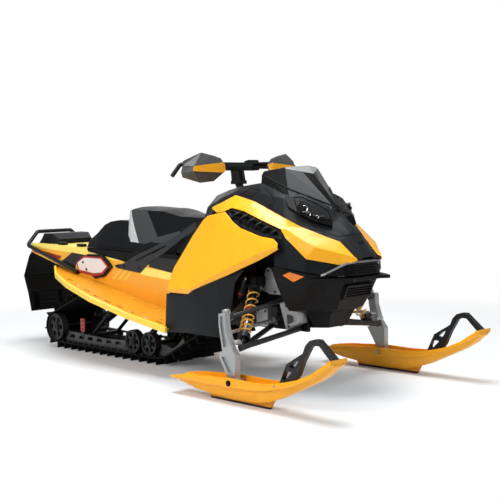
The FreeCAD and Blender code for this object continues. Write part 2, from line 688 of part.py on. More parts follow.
def spring_sleeve(start, end):
    """A close-wound spring as a sleeve with a groove between its turns."""
    run = end - start
    pitch = run.Length / SPRING_TURNS
    bore = SPRING_RADIUS - 9.0
    profile = [(bore, 0.0)]
    for i in range(SPRING_TURNS):
        foot = i * pitch
        profile += [(SPRING_RADIUS - SPRING_GROOVE, foot), (SPRING_RADIUS, foot + pitch * 0.3),
                    (SPRING_RADIUS, foot + pitch * 0.7), (SPRING_RADIUS - SPRING_GROOVE, foot + pitch)]
        if i + 1 < SPRING_TURNS:
            profile.pop()
    profile.append((bore, run.Length))
    face = polygon([V(r, 0, z) for r, z in profile])
    sleeve = face.revolve(V(0, 0, 0), V(0, 0, 1), 360)
    sleeve.Placement = FreeCAD.Placement(start, FreeCAD.Rotation(V(0, 0, 1), run))
    return sleeve


def make_front_suspension():
    """A-arms and coil-over shocks with their reservoirs."""
    keep_pair("suspension_arms", arm_with_boss(LOWER_BALL, LOWER_ARM_FRONT, LOWER_ARM_REAR, 13.0))
    keep_pair("suspension_arms", arm_with_boss(UPPER_BALL, UPPER_ARM_FRONT, UPPER_ARM_REAR, 11.0))
    run = SHOCK_BOTTOM - SHOCK_TOP
    along_shock = [SHOCK_TOP + run * share for share in (0.0, 0.06, 0.1, 0.48, 0.52, 0.86, 0.93, 1.0)]
    shock = rod(along_shock[0], along_shock[3], 17.0).fuse(rod(along_shock[3], along_shock[7], 9.0))
    shock = shock.fuse(rod(along_shock[1], along_shock[2], SPRING_SEAT_RADIUS))
    shock = shock.fuse(rod(along_shock[3], along_shock[4], SPRING_SEAT_RADIUS - 2))
    shock = shock.fuse(rod(along_shock[5], along_shock[6], SPRING_SEAT_RADIUS))
    shock = shock.fuse(rod(along_shock[6], along_shock[7], 15.0))
    hose_end = RESERVOIR_TOP + (RESERVOIR_BOTTOM - RESERVOIR_TOP) * 0.3
    shock = shock.fuse(rod(along_shock[0] + run * 0.03, hose_end, 9.0))
    shock = shock.fuse(rod(RESERVOIR_TOP, RESERVOIR_BOTTOM, 20.0))
    space = arm_form(LOWER_BALL, LOWER_ARM_FRONT, LOWER_ARM_REAR, 13.0 + SEAT_GAP)
    shock = biggest(shock.cut(space).cut(NODES["bulkhead"][0]))
    keep_pair("front_shocks", shock)
    for first, last in ((2, 3), (4, 5)):
        keep_pair("front_springs", biggest(spring_sleeve(along_shock[first], along_shock[last]).cut(shock)))
    axis = post_axis()
    hub = POST_PIVOT - axis * POST_BEARING_DROP
    half = FRAME_Y - 3
    frame = rod(hub - LEFT * half, hub + LEFT * half, 14.0)
    for y in (2 - half, half - 2):
        frame = frame.fuse(rod(V(hub.x, y, hub.z), V(705, y, 540), 12.0))
    frame = frame.fuse(rod(hub - axis * 25, hub + axis * 25, 32.0))
    frame = frame.cut(rod(hub - axis * 60, hub + axis * 60, POST_RADIUS + SEAT_GAP))
    keep("steering_frame", biggest(frame.cut(NODES["bulkhead"][0])))


# x, top edge, foot of the upper wall and underside of a ski
SKI_STATIONS = [(487, 84, 76, 66), (560, 97, 78, 54), (640, 106, 77, 38), (760, 114, 76, 25), (905, 121, 77, 21),
                (1060, 119, 83, 24), (1133, 122, 91, 38), (1208, 134, 107, 64), (1269, 148, 124, 92),
                (1330, 164, 143, 120), (1415, 200, 178, 160), (1471, 236, 213, 194), (1522, 266, 248, 236)]
SKI_HALF = 52.0
KEEL_HALF = 26.0
SKI_WALL = 6.0
LOOP_BAND = [(1196, 50), (1188, 126), (1211, 171), (1234, 216), (1330, 272), (1346, 306), (1370, 329),
             (1400, 338), (1427, 338), (1516, 264), (1506, 242), (1494, 247), (1428, 311), (1396, 312),
             (1374, 300), (1332, 234), (1302, 171), (1262, 128), (1250, 72)]
LOOP_HOLES = ([(1288, 237), (1304, 237), (1284, 204), (1250, 206)],
              [(1222, 186), (1264, 184), (1222, 142), (1208, 148)])


def ski_section(x, top, step, low, y):
    """The section of a ski: upright walls that step in to a broad hollow keel."""
    outer = [(SKI_HALF, top), (SKI_HALF + 3, step + 3), (SKI_HALF + 1, step), (SKI_HALF - 10, step - 4),
             (KEEL_HALF, low)]
    hollow = [(SKI_HALF - SKI_WALL, top), (SKI_HALF - SKI_WALL, step + 4), (SKI_HALF - 18, step + 1),
              (KEEL_HALF - 4, low + SKI_WALL)]
    ring = [(-a, b) for a, b in outer] + list(reversed(outer)) + hollow + [(-a, b) for a, b in reversed(hollow)]
    return polygon_wire([V(x, y + a, z) for a, z in ring])


def make_ski(side):
    """One ski with its broad keel, grab loop and wear bar."""
    label = "right" if side < 0 else "left"
    y = side * SKI_STANCE / 2
    body = Part.makeLoft([ski_section(*station, y) for station in SKI_STATIONS], True, True)
    for end_wall, half in (([(1498, 258), (1502, 236), (1521, 249), (1521, 266)], SKI_HALF - SKI_WALL + 1),
                           ([(1498, 240), (1504, 224), (1521, 238), (1521, 255)], KEEL_HALF - 2)):
        body = body.fuse(plate_xz(end_wall, y - half, y + half))
    body = body.removeSplitter()
    body = body.cut(Part.makeCylinder(8.0 + SEAT_GAP, 140, V(SKI_BOLT_X, y - 70, SKI_BOLT_Z), LEFT))
    keep("ski_" + label, body)
    loop = plate_xz(LOOP_BAND, y - 13, y + 13)
    for hole in LOOP_HOLES:
        loop = loop.cut(plate_xz(hole, y - 20, y + 20))
    keep("ski_loop_" + label, biggest(loop.cut(body)))
    runner = plate_xz([(715, 30), (730, 0), (1120, 0), (1145, 40)], y - 6, y + 6).cut(body)
    keep("ski_runner_" + label, min(runner.Solids, key=lambda bar: bar.BoundBox.ZMin))


def make_spindle(side):
    """One steered spindle: two studs, a column, a broad foot down to the ski bolt and a steering arm."""
    label = "right" if side < 0 else "left"
    y = -SKI_STANCE / 2
    axis = kingpin()
    column = [(812, 404), (812, 345), (832, 232), (800, 218), (864, 113), (884, 76), (926, 76), (914, 119),
              (916, 222), (884, 262), (858, 345), (856, 404)]
    leg = plate_xz(column, y - 20, y + 12)
    pocket = [(822, 392), (822, 346), (840, 250), (874, 262), (847, 345), (846, 392)]
    leg = leg.cut(plate_xz(pocket, y - 24, y - 10))
    foot_pocket = [(824, 206), (868, 135), (902, 135), (904, 206)]
    leg = leg.cut(plate_xz(foot_pocket, y - 24, y - 10))
    leg = leg.fuse(Part.makeCylinder(8, 116, V(SKI_BOLT_X, y - 58, SKI_BOLT_Z), LEFT))
    for ball in (LOWER_BALL, UPPER_BALL):
        leg = leg.fuse(rod(ball - axis * 15, ball + axis * 32, KINGPIN_RADIUS))
        lug = ball + axis * 28
        leg = leg.fuse(rod(lug, V(lug.x, y, lug.z), 12.0))
    foot = TIE_OUTER - axis * 18
    leg = leg.fuse(rod(V(868, y, 290), foot, 9.0)).fuse(rod(foot, TIE_OUTER + axis * 10, 6.0))
    keep("spindle_" + label, mirrored(leg) if side > 0 else leg)


def make_tie_rod(side):
    """One steering tie rod with the eye that sits on the steering arm's pin."""
    label = "right" if side < 0 else "left"
    axis = kingpin()
    run = (TIE_INNER - TIE_OUTER).normalize()
    eye = rod(TIE_OUTER - axis * 8, TIE_OUTER + axis * 8, 13.0)
    bore = rod(TIE_OUTER - axis * 20, TIE_OUTER + axis * 20, 6.0 + SEAT_GAP)
    solid = rod(TIE_OUTER, TIE_INNER - run * 14, 8.0).fuse(eye).cut(bore)
    keep("tie_rod_" + label, mirrored(solid) if side > 0 else solid)


def make_rack():
    """The sliding steering rack between the tie rods."""
    keep("steering_rack", rod(TIE_INNER, V(TIE_INNER.x, -TIE_INNER.y, TIE_INNER.z), RACK_RADIUS))


def post_axis():
    """Unit direction of the steering post, upward."""
    tilt = math.radians(POST_TILT)
    return V(-math.sin(tilt), 0, math.cos(tilt))


BAR_PATH_RIGHT = [V(300, -392, 1050), V(306, -340, 1110), V(340, -150, 1104), V(362, -60, 1108)]
GUARD_ROWS = [[(440, -183, 1136), (434, -236, 1151), (430, -306, 1164), (402, -392, 1126)],
              [(438, -156, 1106), (450, -182, 1113), (446, -368, 1095), (404, -404, 1100)],
              [(444, -158, 1075), (452, -177, 1062), (446, -378, 1070), (402, -414, 1066)],
              [(430, -190, 1046), (438, -233, 1019), (434, -320, 1012), (400, -404, 1040)]]


def bar_form(radius):
    """The bent handlebar at a radius, its ends turned down."""
    path = BAR_PATH_RIGHT + [V(p.x, -p.y, p.z) for p in reversed(BAR_PATH_RIGHT)]
    return bent_rod(path, radius, 24)


def make_handlebar():
    """Handlebar, riser with its post, pad, grips, control blocks and hand guards."""
    axis = post_axis()
    bar = bar_form(BAR_RADIUS)
    keep("handlebar", bar)
    space = bar_form(BAR_RADIUS + SEAT_GAP)
    post = rod(POST_PIVOT - axis * 280, POST_PIVOT + axis * 12, POST_RADIUS)
    foot = box(347, 403, -32, 32, 1004, 1022)
    riser = foot
    for y in (-30, 12):
        upright = [polygon_wire([V(x0, y, z), V(x1, y, z), V(x1, y + 18, z), V(x0, y + 18, z)])
                   for x0, x1, z in ((352, 398, 1014), (344, 382, 1092))]
        riser = riser.fuse(Part.makeLoft(upright, True, True))
    riser = riser.fuse(box(340, 386, -42, 42, 1086, 1104))
    keep("handlebar_riser", riser.cut(space).fuse(post))
    pad_face = [(334, 1076), (386, 1076), (392, 1094), (384, 1118), (344, 1120), (330, 1100)]
    pad = plate_xz(pad_face, -86, 86).cut(space)
    pad = pad.cut(NODES["handlebar_riser"][0])
    keep("bar_pad", biggest(pad))
    grip = rod(V(309, -322, 1109.5), V(335, -182, 1105.2), 17.0).cut(space)
    keep_pair("grips", grip)
    left_block = plate_xz([(308, 1076), (352, 1078), (358, 1112), (344, 1134), (308, 1128)], 106, 176)
    right_block = plate_xz([(310, 1080), (352, 1080), (356, 1108), (342, 1122), (310, 1118)], -168, -100)
    lever = bent_rod([V(350, 130, 1092), V(366, 190, 1090), V(344, 320, 1090)], 6.0, 20)
    thumb = bent_rod([V(338, -150, 1086), V(330, -190, 1072), V(322, -240, 1074)], 6.0, 12)
    keep("bar_controls", biggest(left_block.fuse(lever).cut(space)),
         biggest(right_block.fuse(thumb).cut(space)))
    guard = faceted(point_rows(GUARD_ROWS), lambda p: V(-4, 0, 0))
    guard = guard.fuse(box(340, 446, -252, -236, 1086, 1098))
    guard = guard.fuse(rod(V(322, -244, 1107), V(345, -244, 1092), 6.0))
    guard = guard.cut(space).cut(NODES["grips"][0])
    band_rows = [[V(x + 4, y, z) for x, y, z in row[:3]] for row in GUARD_ROWS[1:3]]
    band = faceted(band_rows, lambda p: V(-6, 0, 0)).cut(guard).cut(space)
    for block in NODES["bar_controls"]:
        guard = guard.cut(block).cut(mirrored(block))
        band = band.cut(block).cut(mirrored(block))
    keep_pair("hand_guards", biggest(guard))
    keep_pair("guard_bands", biggest(band))


UPPER_IDLER = (-640.0, 372.0, UPPER_IDLER_RADIUS)
NOSE_CURVE = (-170.0, REAR_IDLER_Z - REAR_IDLER_RADIUS + 300.0, 300.0)


def track_path():
    """The belt's inner line: tangent arcs round the wheels joined by straight runs."""
    return [(DRIVE_AXLE_X, DRIVE_AXLE_Z, SPROCKET_RADIUS), UPPER_IDLER,
            (REAR_IDLER_X, REAR_IDLER_Z, REAR_IDLER_RADIUS), NOSE_CURVE]


def tangent_points(a, b, outside=True):
    """Where the belt leaves circle a and meets circle b, both turning the same way (counter-clockwise)."""
    dx = b[0] - a[0]
    dz = b[1] - a[1]
    distance = math.hypot(dx, dz)
    direction = math.atan2(dz, dx)
    lean = math.asin((a[2] - b[2]) / distance)
    angle = direction - math.pi / 2 + lean
    first = (a[0] + a[2] * math.cos(angle), a[1] + a[2] * math.sin(angle))
    second = (b[0] + b[2] * math.cos(angle), b[1] + b[2] * math.sin(angle))
    return first, second, angle


def loop_points(grow):
    """The belt line moved outward by a distance, as wheels and the runs between them."""
    circles = [(x, z, r + grow) for x, z, r in track_path()]
    angles = []
    count = len(circles)
    for i in range(count):
        angles.append(tangent_points(circles[i], circles[(i + 1) % count]))
    return circles, angles


def belt_wire(grow):
    """Closed wire of the belt line at a distance outside the wheels."""
    circles, runs = loop_points(grow)
    count = len(circles)
    edges = []
    for i in range(count):
        first, second, angle = runs[i]
        edges.append(Part.makeLine(V(first[0], 0, first[1]), V(second[0], 0, second[1])))
        circle = circles[(i + 1) % count]
        next_angle = runs[(i + 1) % count][2]
        sweep = (next_angle - angle) % (2 * math.pi)
        middle = angle + sweep / 2
        start = V(second[0], 0, second[1])
        mid = V(circle[0] + circle[2] * math.cos(middle), 0, circle[1] + circle[2] * math.sin(middle))
        end_pt = runs[(i + 1) % count][0]
        edges.append(Part.Arc(start, mid, V(end_pt[0], 0, end_pt[1])).toShape())
    return Part.Wire(edges)


def make_track():
    """The rubber track as one closed belt with rows of lugs."""
    outer = Part.Face(belt_wire(BELT_THICKNESS))
    inner = Part.Face(belt_wire(0.0))
    belt = outer.cut(inner).extrude(V(0, TRACK_WIDTH, 0))
    belt.translate(V(0, -TRACK_WIDTH / 2, 0))
    path = belt_wire(BELT_THICKNESS - 1.0)
    spots = path.discretize(Number=TRACK_PITCH_COUNT * 2 + 1)
    bars = []
    lanes = ((-180, -95), (-50, 50), (95, 180))
    for i in range(TRACK_PITCH_COUNT):
        for k, (y0, y1) in enumerate(lanes):
            j = 2 * i + (1 if k == 1 else 0)
            here = spots[j]
            ahead = spots[(j + 1) % (len(spots) - 1)]
            run = (ahead - here).normalize()
            out = V(run.z, 0, -run.x)
            half = run * (LUG_THICKNESS / 2)
            tip = run * (LUG_THICKNESS / 3)
            rise = out * (LUG_HEIGHT + 1.0)
            corners = [here - half, here + half, here + tip + rise, here - tip + rise]
            face = polygon([V(c.x, y0, c.z) for c in corners])
            bars.append(face.extrude(V(0, y1 - y0, 0)))
    keep("track", belt.multiFuse(bars))


SHOCK_REACH = -150.0
SHOCK_FOOT_Z = 98.0
WHEEL_DISH = 6.0
WHEEL_HOLES = 6


def wheel(x, z, y0, y1, radius):
    """A dished wheel with a raised rim and hub and a ring of holes between its spokes."""
    disc = Part.makeCylinder(radius, y1 - y0, V(x, y0, z), LEFT)
    for at, deep in ((y0, WHEEL_DISH), (y1 - WHEEL_DISH, WHEEL_DISH)):
        groove = Part.makeCylinder(radius * 0.84, deep, V(x, at, z), LEFT)
        disc = disc.cut(groove.cut(Part.makeCylinder(radius * 0.34, deep, V(x, at, z), LEFT)))
    for i in range(WHEEL_HOLES):
        turn = 2 * math.pi * i / WHEEL_HOLES
        centre = V(x + radius * 0.59 * math.cos(turn), y0, z + radius * 0.59 * math.sin(turn))
        disc = disc.cut(Part.makeCylinder(radius * 0.19, y1 - y0, centre, LEFT))
    return disc


def wheel_set(x, z, y0, y1, radius, reach, axle_radius):
    """An axle with one wheel near each end, both sides alike."""
    axle = rod(V(x, -reach, z), V(x, reach, z), axle_radius)
    near = wheel(x, z, y0, y1, radius)
    return axle.fuse(near).fuse(mirrored(near))


def make_skid():
    """Slide rails, wheels, axles and suspension arms inside the track."""
    nose_x, nose_z, nose_r = NOSE_CURVE
    low = REAR_IDLER_Z - REAR_IDLER_RADIUS + SEAT_GAP
    nose = []
    for degrees in (0, 12, 24, 36, 48):
        turn = math.radians(degrees)
        reach = nose_r - SEAT_GAP
        nose.append((nose_x + reach * math.sin(turn), nose_z - reach * math.cos(turn)))
    back = [(x - 14, z + 22) for x, z in reversed(nose[2:])]
    rail = [(-1230, low + 60), (-1180, low + 10), (-1150, low)] + nose + back + [
        (-120, low + RAIL_HEIGHT), (-300, low + RAIL_HEIGHT), (-700, low + RAIL_HEIGHT - 14),
        (-1100, low + RAIL_HEIGHT), (-1210, low + 110)]
    plate = plate_xz(rail, -RAIL_Y - RAIL_WALL / 2, -RAIL_Y + RAIL_WALL / 2)
    outer_face = -RAIL_Y - RAIL_WALL / 2 - SEAT_GAP
    bore = rod(V(REAR_IDLER_X, -200, REAR_IDLER_Z), V(REAR_IDLER_X, 200, REAR_IDLER_Z), 12.0)
    plate = plate.cut(bore)
    for i in range(RAIL_WINDOWS):
        x = -1090 + i * 98
        window = [(x, low + 22), (x + 62, low + 22), (x + 52, low + 44), (x + 10, low + 44)]
        plate = plate.cut(plate_xz(window, -200, 0))
    keep_pair("slide_rails", plate)
    keep("rear_idler_wheels", wheel_set(REAR_IDLER_X, REAR_IDLER_Z, -178, outer_face,
                                        REAR_IDLER_RADIUS - SEAT_GAP, 182, 11.7))
    for x in (-375.0, -222.0):
        keep_pair("rail_wheels", wheel(x, low + RAIL_WHEEL_RADIUS, -176, outer_face, RAIL_WHEEL_RADIUS))
    reach = TUNNEL_WIDTH / 2 - TUNNEL_WALL - SEAT_GAP
    keep("drive_sprockets", wheel_set(DRIVE_AXLE_X, DRIVE_AXLE_Z, -120, -80, SPROCKET_RADIUS - SEAT_GAP,
                                      reach, 17.7))
    upper_x, upper_z, upper_r = UPPER_IDLER
    keep("upper_idler_wheels", wheel_set(upper_x, upper_z, -175, -150, upper_r - SEAT_GAP, reach, 9.7))
    inner_face = RAIL_Y - RAIL_WALL / 2 - SEAT_GAP
    for top, foot in ((V(-60, 0, 400), V(-330, 0, 92)), (V(-540, 0, 378), V(-900, 0, 92))):
        arm = rod(top - LEFT * reach, top + LEFT * reach, 13.0)
        arm = arm.fuse(rod(foot - LEFT * inner_face, foot + LEFT * inner_face, 13.0))
        for y in (-95, 95):
            arm = arm.fuse(rod(V(top.x, y, top.z), V(foot.x, y, foot.z), 11.0))
        shock_foot = V(foot.x + SHOCK_REACH, 0, SHOCK_FOOT_Z)
        run = shock_foot - top
        arm = arm.fuse(rod(shock_foot - LEFT * inner_face, shock_foot + LEFT * inner_face, 12.0))
        arm = arm.fuse(rod(top, shock_foot, 12.0)).fuse(rod(top + run * 0.14, top + run * 0.66, 32.0))
        keep("skid_arms", arm)


FLAP_WALL = 6.0
FLAP_STATIONS = [(TUNNEL_REAR_X - SEAT_GAP, 664, 200), (TUNNEL_REAR_X - SEAT_GAP, 612, 200),
                 (-1440, 580, 198), (-1520, 445, 195), (-1490, 330, 185), (-1475, 212, 175)]
PLATE_OUTLINE = [(-790, 520), (-808, 560), (-753, 612), (-597, 614), (-549, 583), (-503, 544), (-585, 484),
                 (-679, 468)]
PLATE_RECESS = [(-776, 524), (-790, 556), (-746, 598), (-600, 600), (-560, 574), (-524, 544), (-590, 499),
                (-676, 484)]


def make_tail():
    """Rear bumper hoop, tail light, snow flap and side plates."""
    y = -(TUNNEL_WIDTH / 2 + HOOP_RADIUS + SEAT_GAP)
    hoop = bent_rod([V(-862, y, 500), V(-1432, y, 652), V(-1445, -128, 737), V(-1445, 128, 737),
                     V(-1432, -y, 652), V(-862, -y, 500)], HOOP_RADIUS, 32)
    keep("rear_bumper", hoop)
    lamp = Part.makeLoft([
        Part.makePolygon([V(x, -w, z0), V(x, w, z0), V(x, w - 20, z1), V(x, 20 - w, z1), V(x, -w, z0)])
        for x, w, z0, z1 in ((-1190, 140, tunnel_top(-1190) + SEAT_GAP, 690),
                             (-1250, 160, tunnel_top(-1250) + SEAT_GAP, 724),
                             (-1336, 165, tunnel_top(-1336) + SEAT_GAP, 727),
                             (-1378, 158, tunnel_top(-1378) + SEAT_GAP, 692))], True, True)
    keep("tail_light", lamp)
    wires = []
    for x, z, half in FLAP_STATIONS:
        ends = [V(x, -half, z), V(x, half, z), V(x - FLAP_WALL, half, z), V(x - FLAP_WALL, -half, z)]
        wires.append(polygon_wire(ends))
    flap = Part.makeLoft(wires, True, True)
    for y0, y1 in ((-165, -112), (-62, 62), (112, 165)):
        rib = [polygon_wire([V(x, y0, z), V(x, y1, z), V(x - reach, y1, z), V(x - reach, y0, z)])
               for x, z, reach in ((-1494, 338, 1), (-1490, 326, 16), (-1482, 238, 16), (-1480, 228, 1))]
        flap = flap.fuse(Part.makeLoft(rib, True, True))
    keep("snow_flap", flap)
    face = -TUNNEL_WIDTH / 2 - SEAT_GAP
    plate = plate_xz(PLATE_OUTLINE, face - 12, face).cut(plate_xz(PLATE_RECESS, face - 20, face - 7))
    keep_pair("side_plates", plate)


def make_anchors():
    """Raised oval sockets on the tunnel for a cargo bag's studs, their axes square to the sloping deck."""
    slope = (tunnel_top(TUNNEL_FRONT_X) - tunnel_top(TUNNEL_REAR_X)) / (TUNNEL_FRONT_X - TUNNEL_REAR_X)
    up = V(-slope, 0, 1).normalize()
    ahead = V(up.z, 0, -up.x)
    for x in ANCHOR_X:
        seat = V(x, -ANCHOR_Y, tunnel_top(x)) + up * SEAT_GAP
        ends = [seat - ahead * ANCHOR_REACH, seat + ahead * ANCHOR_REACH]
        anchor = rod(ends[0], ends[0] + up * ANCHOR_HEIGHT, ANCHOR_RADIUS)
        anchor = anchor.fuse(rod(ends[1], ends[1] + up * ANCHOR_HEIGHT, ANCHOR_RADIUS))
        corners = [end + LEFT * side for end, side in ((ends[0], -ANCHOR_RADIUS), (ends[1], -ANCHOR_RADIUS),
                                                       (ends[1], ANCHOR_RADIUS), (ends[0], ANCHOR_RADIUS))]
        anchor = anchor.fuse(polygon(corners).extrude(up * ANCHOR_HEIGHT)).removeSplitter()
        anchor = anchor.cut(rod(seat + up * ANCHOR_FLOOR, seat + up * (ANCHOR_HEIGHT + 1), ANCHOR_BORE))
        keep_pair("cargo_anchors", anchor)


def main():
    make_tunnel()
    make_boards()
    make_seat()
    make_storage()
    make_seat_brackets()
    make_tank()
    make_side_panels()
    make_lower_panels()
    make_strips()
    make_hood()
    make_windshield()
    make_vents()
    make_cheeks()
    make_belly()
    make_bumper()
    make_nose()
    make_bulkhead()
    make_castings()
    make_front_suspension()
    for side in (-1, 1):
        make_ski(side)
        make_spindle(side)
        make_tie_rod(side)
    make_rack()
    make_handlebar()
    make_track()
    make_skid()
    make_tail()
    make_anchors()
    os.makedirs("parts", exist_ok=True)
    for name, solids in NODES.items():
        shape = solids[0] if len(solids) == 1 else Part.makeCompound(solids)
        shape.exportStep("parts/%s.step" % name)
        print(name, len(shape.Solids), shape.isValid(), round(shape.Volume / 1e3), "cm3")


main()
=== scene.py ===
"""Looks of a trail snowmobile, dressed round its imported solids. Metres, +X forward, +Y left, +Z up."""

import math
import bmesh
import bpy
from mathutils import Matrix, Vector
from mathutils.bvhtree import BVHTree


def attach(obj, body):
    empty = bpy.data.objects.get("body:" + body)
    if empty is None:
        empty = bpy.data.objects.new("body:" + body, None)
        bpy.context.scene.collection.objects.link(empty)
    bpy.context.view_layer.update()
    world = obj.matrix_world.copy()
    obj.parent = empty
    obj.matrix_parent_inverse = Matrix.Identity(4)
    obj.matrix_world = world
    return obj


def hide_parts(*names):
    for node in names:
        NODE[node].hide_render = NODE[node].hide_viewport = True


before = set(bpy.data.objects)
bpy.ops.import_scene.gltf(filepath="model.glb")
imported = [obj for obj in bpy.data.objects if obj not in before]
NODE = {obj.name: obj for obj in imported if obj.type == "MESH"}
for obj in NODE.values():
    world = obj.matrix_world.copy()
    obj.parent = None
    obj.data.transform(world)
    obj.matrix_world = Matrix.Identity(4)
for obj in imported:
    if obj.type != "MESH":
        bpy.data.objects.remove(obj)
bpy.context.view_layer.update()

# Viewpoint
CAMERA_AT = Vector((4.07329, -3.45838, 0.95126))
CAMERA_AZIMUTH = math.radians(46.3508)
CAMERA_ELEVATION = math.radians(3.3791)
CAMERA_ROLL = math.radians(-1.4149)
CAMERA_LENS = 68.627
SENSOR = 36.0

# Stage: the floor, which fades to white from near to far, the world, and lamps of (name, place, size, watts)
WHITE = (1.0, 1.0, 1.0, 1.0)
FLOOR_COLOUR = (0.71, 0.73, 0.75, 1.0)
FLOOR_SIZE = 60.0
FLOOR_ROUGH = 0.8
FLOOR_GLOW = 0.06
FLOOR_NEAR = 2.0
FLOOR_FAR = 3.6
WORLD_STRENGTH = 0.30
LAMP_AIM = Vector((0, 0, 0.5))
LAMPS = [("key", (0.5, -4.8, 3.6), 2.5, 170.0), ("nose", (5.0, 0.8, 2.6), 2.0, 45.0),
         ("top", (0.2, 0.0, 4.6), 2.8, 235.0), ("back", (-3.5, 3.0, 3.0), 3.0, 45.0)]

# Colours, linear
YELLOW = (0.93, 0.42, 0.010)
ORANGE = (0.86, 0.33, 0.016)
BRIGHT = (0.97, 0.78, 0.15)
RED = (0.36, 0.022, 0.016)
BLACK = (0.0038, 0.0042, 0.0050)
CHARCOAL = (0.0125, 0.0143, 0.0162)
LENS_HIGHLIGHT_GREY = (0.06, 0.065, 0.068)
# Grey of the beads on the lamp lenses, a painted highlight
PALE = (0.5, 0.52, 0.52)

# Coloured regions of a finish, as (colour, planes) for finish_material
TUNNEL_FADE = ((0.93, 0.44, 0.025), [((0, 0, 1), 0.36, 0.56)])
TUNNEL_DECK = (BRIGHT, [((0.068, 0, 1), 0.5505, 0.5512)])
TUNNEL_FRONT = ((0.004, 0.004, 0.005), [((1, 0, 0), 0.255, 0.26)])
RUNNER_KEEL = ((0.80, 0.32, 0.010), [((0, 0, 1), 0.0100, 0.0105)])
CASTING_ENDS = ((0.004, 0.004, 0.0045), [((0, 1, 0), 0.5900, 0.5905)])
SEAT_DARK_SIDE = ((0.0040, 0.0048, 0.0055), [((0.761, 0, 0.648), 0.3650, 0.3662),
                                             ((-0.211, 0, 0.977), 0.7326, 0.7338)])
SEAT_PALE_BACK = (PALE, [((-0.883, 0, -0.469), -0.0512, -0.0500)])
SCREEN_MIDDLE = ((0.003, 0.003, 0.0035), [((0, -1, 0.17), 0.129, 0.133)])
# Painted reflection: a light grey patch near the top of the smoked screen
SCREEN_TOP_REFLECTION = ((0.30, 0.305, 0.305), [((-0.462, -0.496, 0.737), 0.3458, 0.3464)])
# Painted shade: the rear part of the smoked screen, with its side facets, is near-black
SCREEN_REAR_SHADE = ((0.006, 0.0065, 0.007), [((-0.9, 0, -0.4353), -1.2156, -1.2148)])

# Settings that several finishes share
GLOSS = {"coat": 0.2, "vary": 0.03, "vary_scale": 3.0, "grain_height": 0.0, "rough_vary": 0.04,
         "specular": 0.3}
MOULDED = {"grain": 1400.0, "grain_height": 0.15}
BLACK_MOULDED = {"vary": 0.1, "grain": 1200.0, "grain_height": 0.15}
FINE_GRAIN = {"grain": 300.0, "grain_height": 0.02}

# Places on the solids; y is on the right side, and the left side is its mirror image
TUNNEL_SIDE = 0.2
SHOCK_TOP = Vector((0.748, -0.255, 0.503))
SHOCK_BOTTOM = Vector((0.872, -0.468, 0.262))
RESERVOIR_TOP = Vector((0.684, -0.262, 0.533))
RESERVOIR_FOOT = Vector((0.640, -0.266, 0.443))
PLATE_GAP = 0.0003
PLATE_THICK = 0.007
PLATE_FACE = -0.2127
SKI_PIVOT = (0.905, -0.5960, 0.097)
SKI_SCREW = (1.183, -0.580, 0.117)
LAMP_AXIS = Vector((0.60, -0.76, 0.22)).normalized()
LINK_X = -0.938

# Springs as (start, end, turns), with start and end as shares of the shock
SPRING_SPANS = ((0.1, 0.48, 3.5), (0.52, 0.86, 4.5))
SPRING_RADIUS = 0.0262
SPRING_WIRE = 0.0041
SPRING_STEPS = 28
SPRING_FLAT = 0.03

# Seat stations as (x, half width and height of the top, half width and height of the foot)
SEAT_STATIONS = [(-0.452, 0.112, 0.866, 0.120, 0.700), (-0.425, 0.124, 0.884, 0.142, 0.692),
                 (-0.380, 0.132, 0.889, 0.156, 0.690), (-0.150, 0.122, 0.878, 0.165, 0.672),
                 (0.040, 0.108, 0.846, 0.150, 0.668), (0.200, 0.092, 0.838, 0.122, 0.718),
                 (0.262, 0.084, 0.848, 0.100, 0.770)]
SEAT_REAR = SEAT_STATIONS[0][0]
SEAT_FRONT = SEAT_STATIONS[-1][0]
SEAT_STEPS = 64
SEAT_AROUND = 40
SEAT_CROWN = 0.003
SEAT_EDGE_DROP = 0.012
SEAT_BULGE = 0.006
SEAT_DENT = 0.004
SEAT_SEAMS = (-0.02, -0.33)
SEAT_SEAM_WIDTH = 0.005
SEAT_REAR_ROUND = 0.05
SEAT_FRONT_ROUND = 0.06
SEAT_END_SHRINK = 0.08

# Screws as (face, radius, places), where a place is (x, z)
SCREW_HEIGHT = 0.004
SCREWS = [
    (-0.2053, 0.010, [(-0.394, 0.552), (-0.252, 0.546), (-0.448, 0.551)]),
    (-0.2123, 0.008, [(-0.762, 0.520), (-0.797, 0.562), (-0.600, 0.606), (-0.514, 0.545), (-0.680, 0.477)]),
    (-0.199, 0.006, [(0.704, 0.374), (0.756, 0.374), (0.704, 0.314), (0.756, 0.314), (0.90, 0.410),
                     (0.915, 0.312)]),
    (-0.2078, 0.006, [(0.755, 0.496), (0.835, 0.475), (0.790, 0.575)]),
]

# Wheels as (x, z, radius, outer face)
RAIL_WHEEL = 0.068
RAIL_WHEEL_Z = 0.0453 + RAIL_WHEEL
WHEELS = [(-1.185, 0.132, 0.0867, -0.178), (-0.375, RAIL_WHEEL_Z, RAIL_WHEEL, -0.176),
          (-0.222, RAIL_WHEEL_Z, RAIL_WHEEL, -0.176)]

# Lamp eyes as (place, radius), then the lens's rim and its highlight lines as (x, z); the lines are grey
# beads, painted highlight where the lamp's inner reflector strips catch the light
LAMP_EYES = [((1.003, -0.17, 0.874), 0.0150), ((1.027, -0.17, 0.848), 0.0110),
             ((1.083, -0.17, 0.835), 0.0085)]
LENS_RIM = [(0.928, 0.928), (0.976, 0.930), (1.075, 0.897), (1.145, 0.863), (1.160, 0.824), (1.092, 0.822),
            (1.000, 0.849), (0.941, 0.888)]
LENS_HIGHLIGHT_LINES = [[(0.955, 0.918), (1.01, 0.905), (1.06, 0.885)], [(1.045, 0.845), (1.09, 0.838), (1.12, 0.84)]]
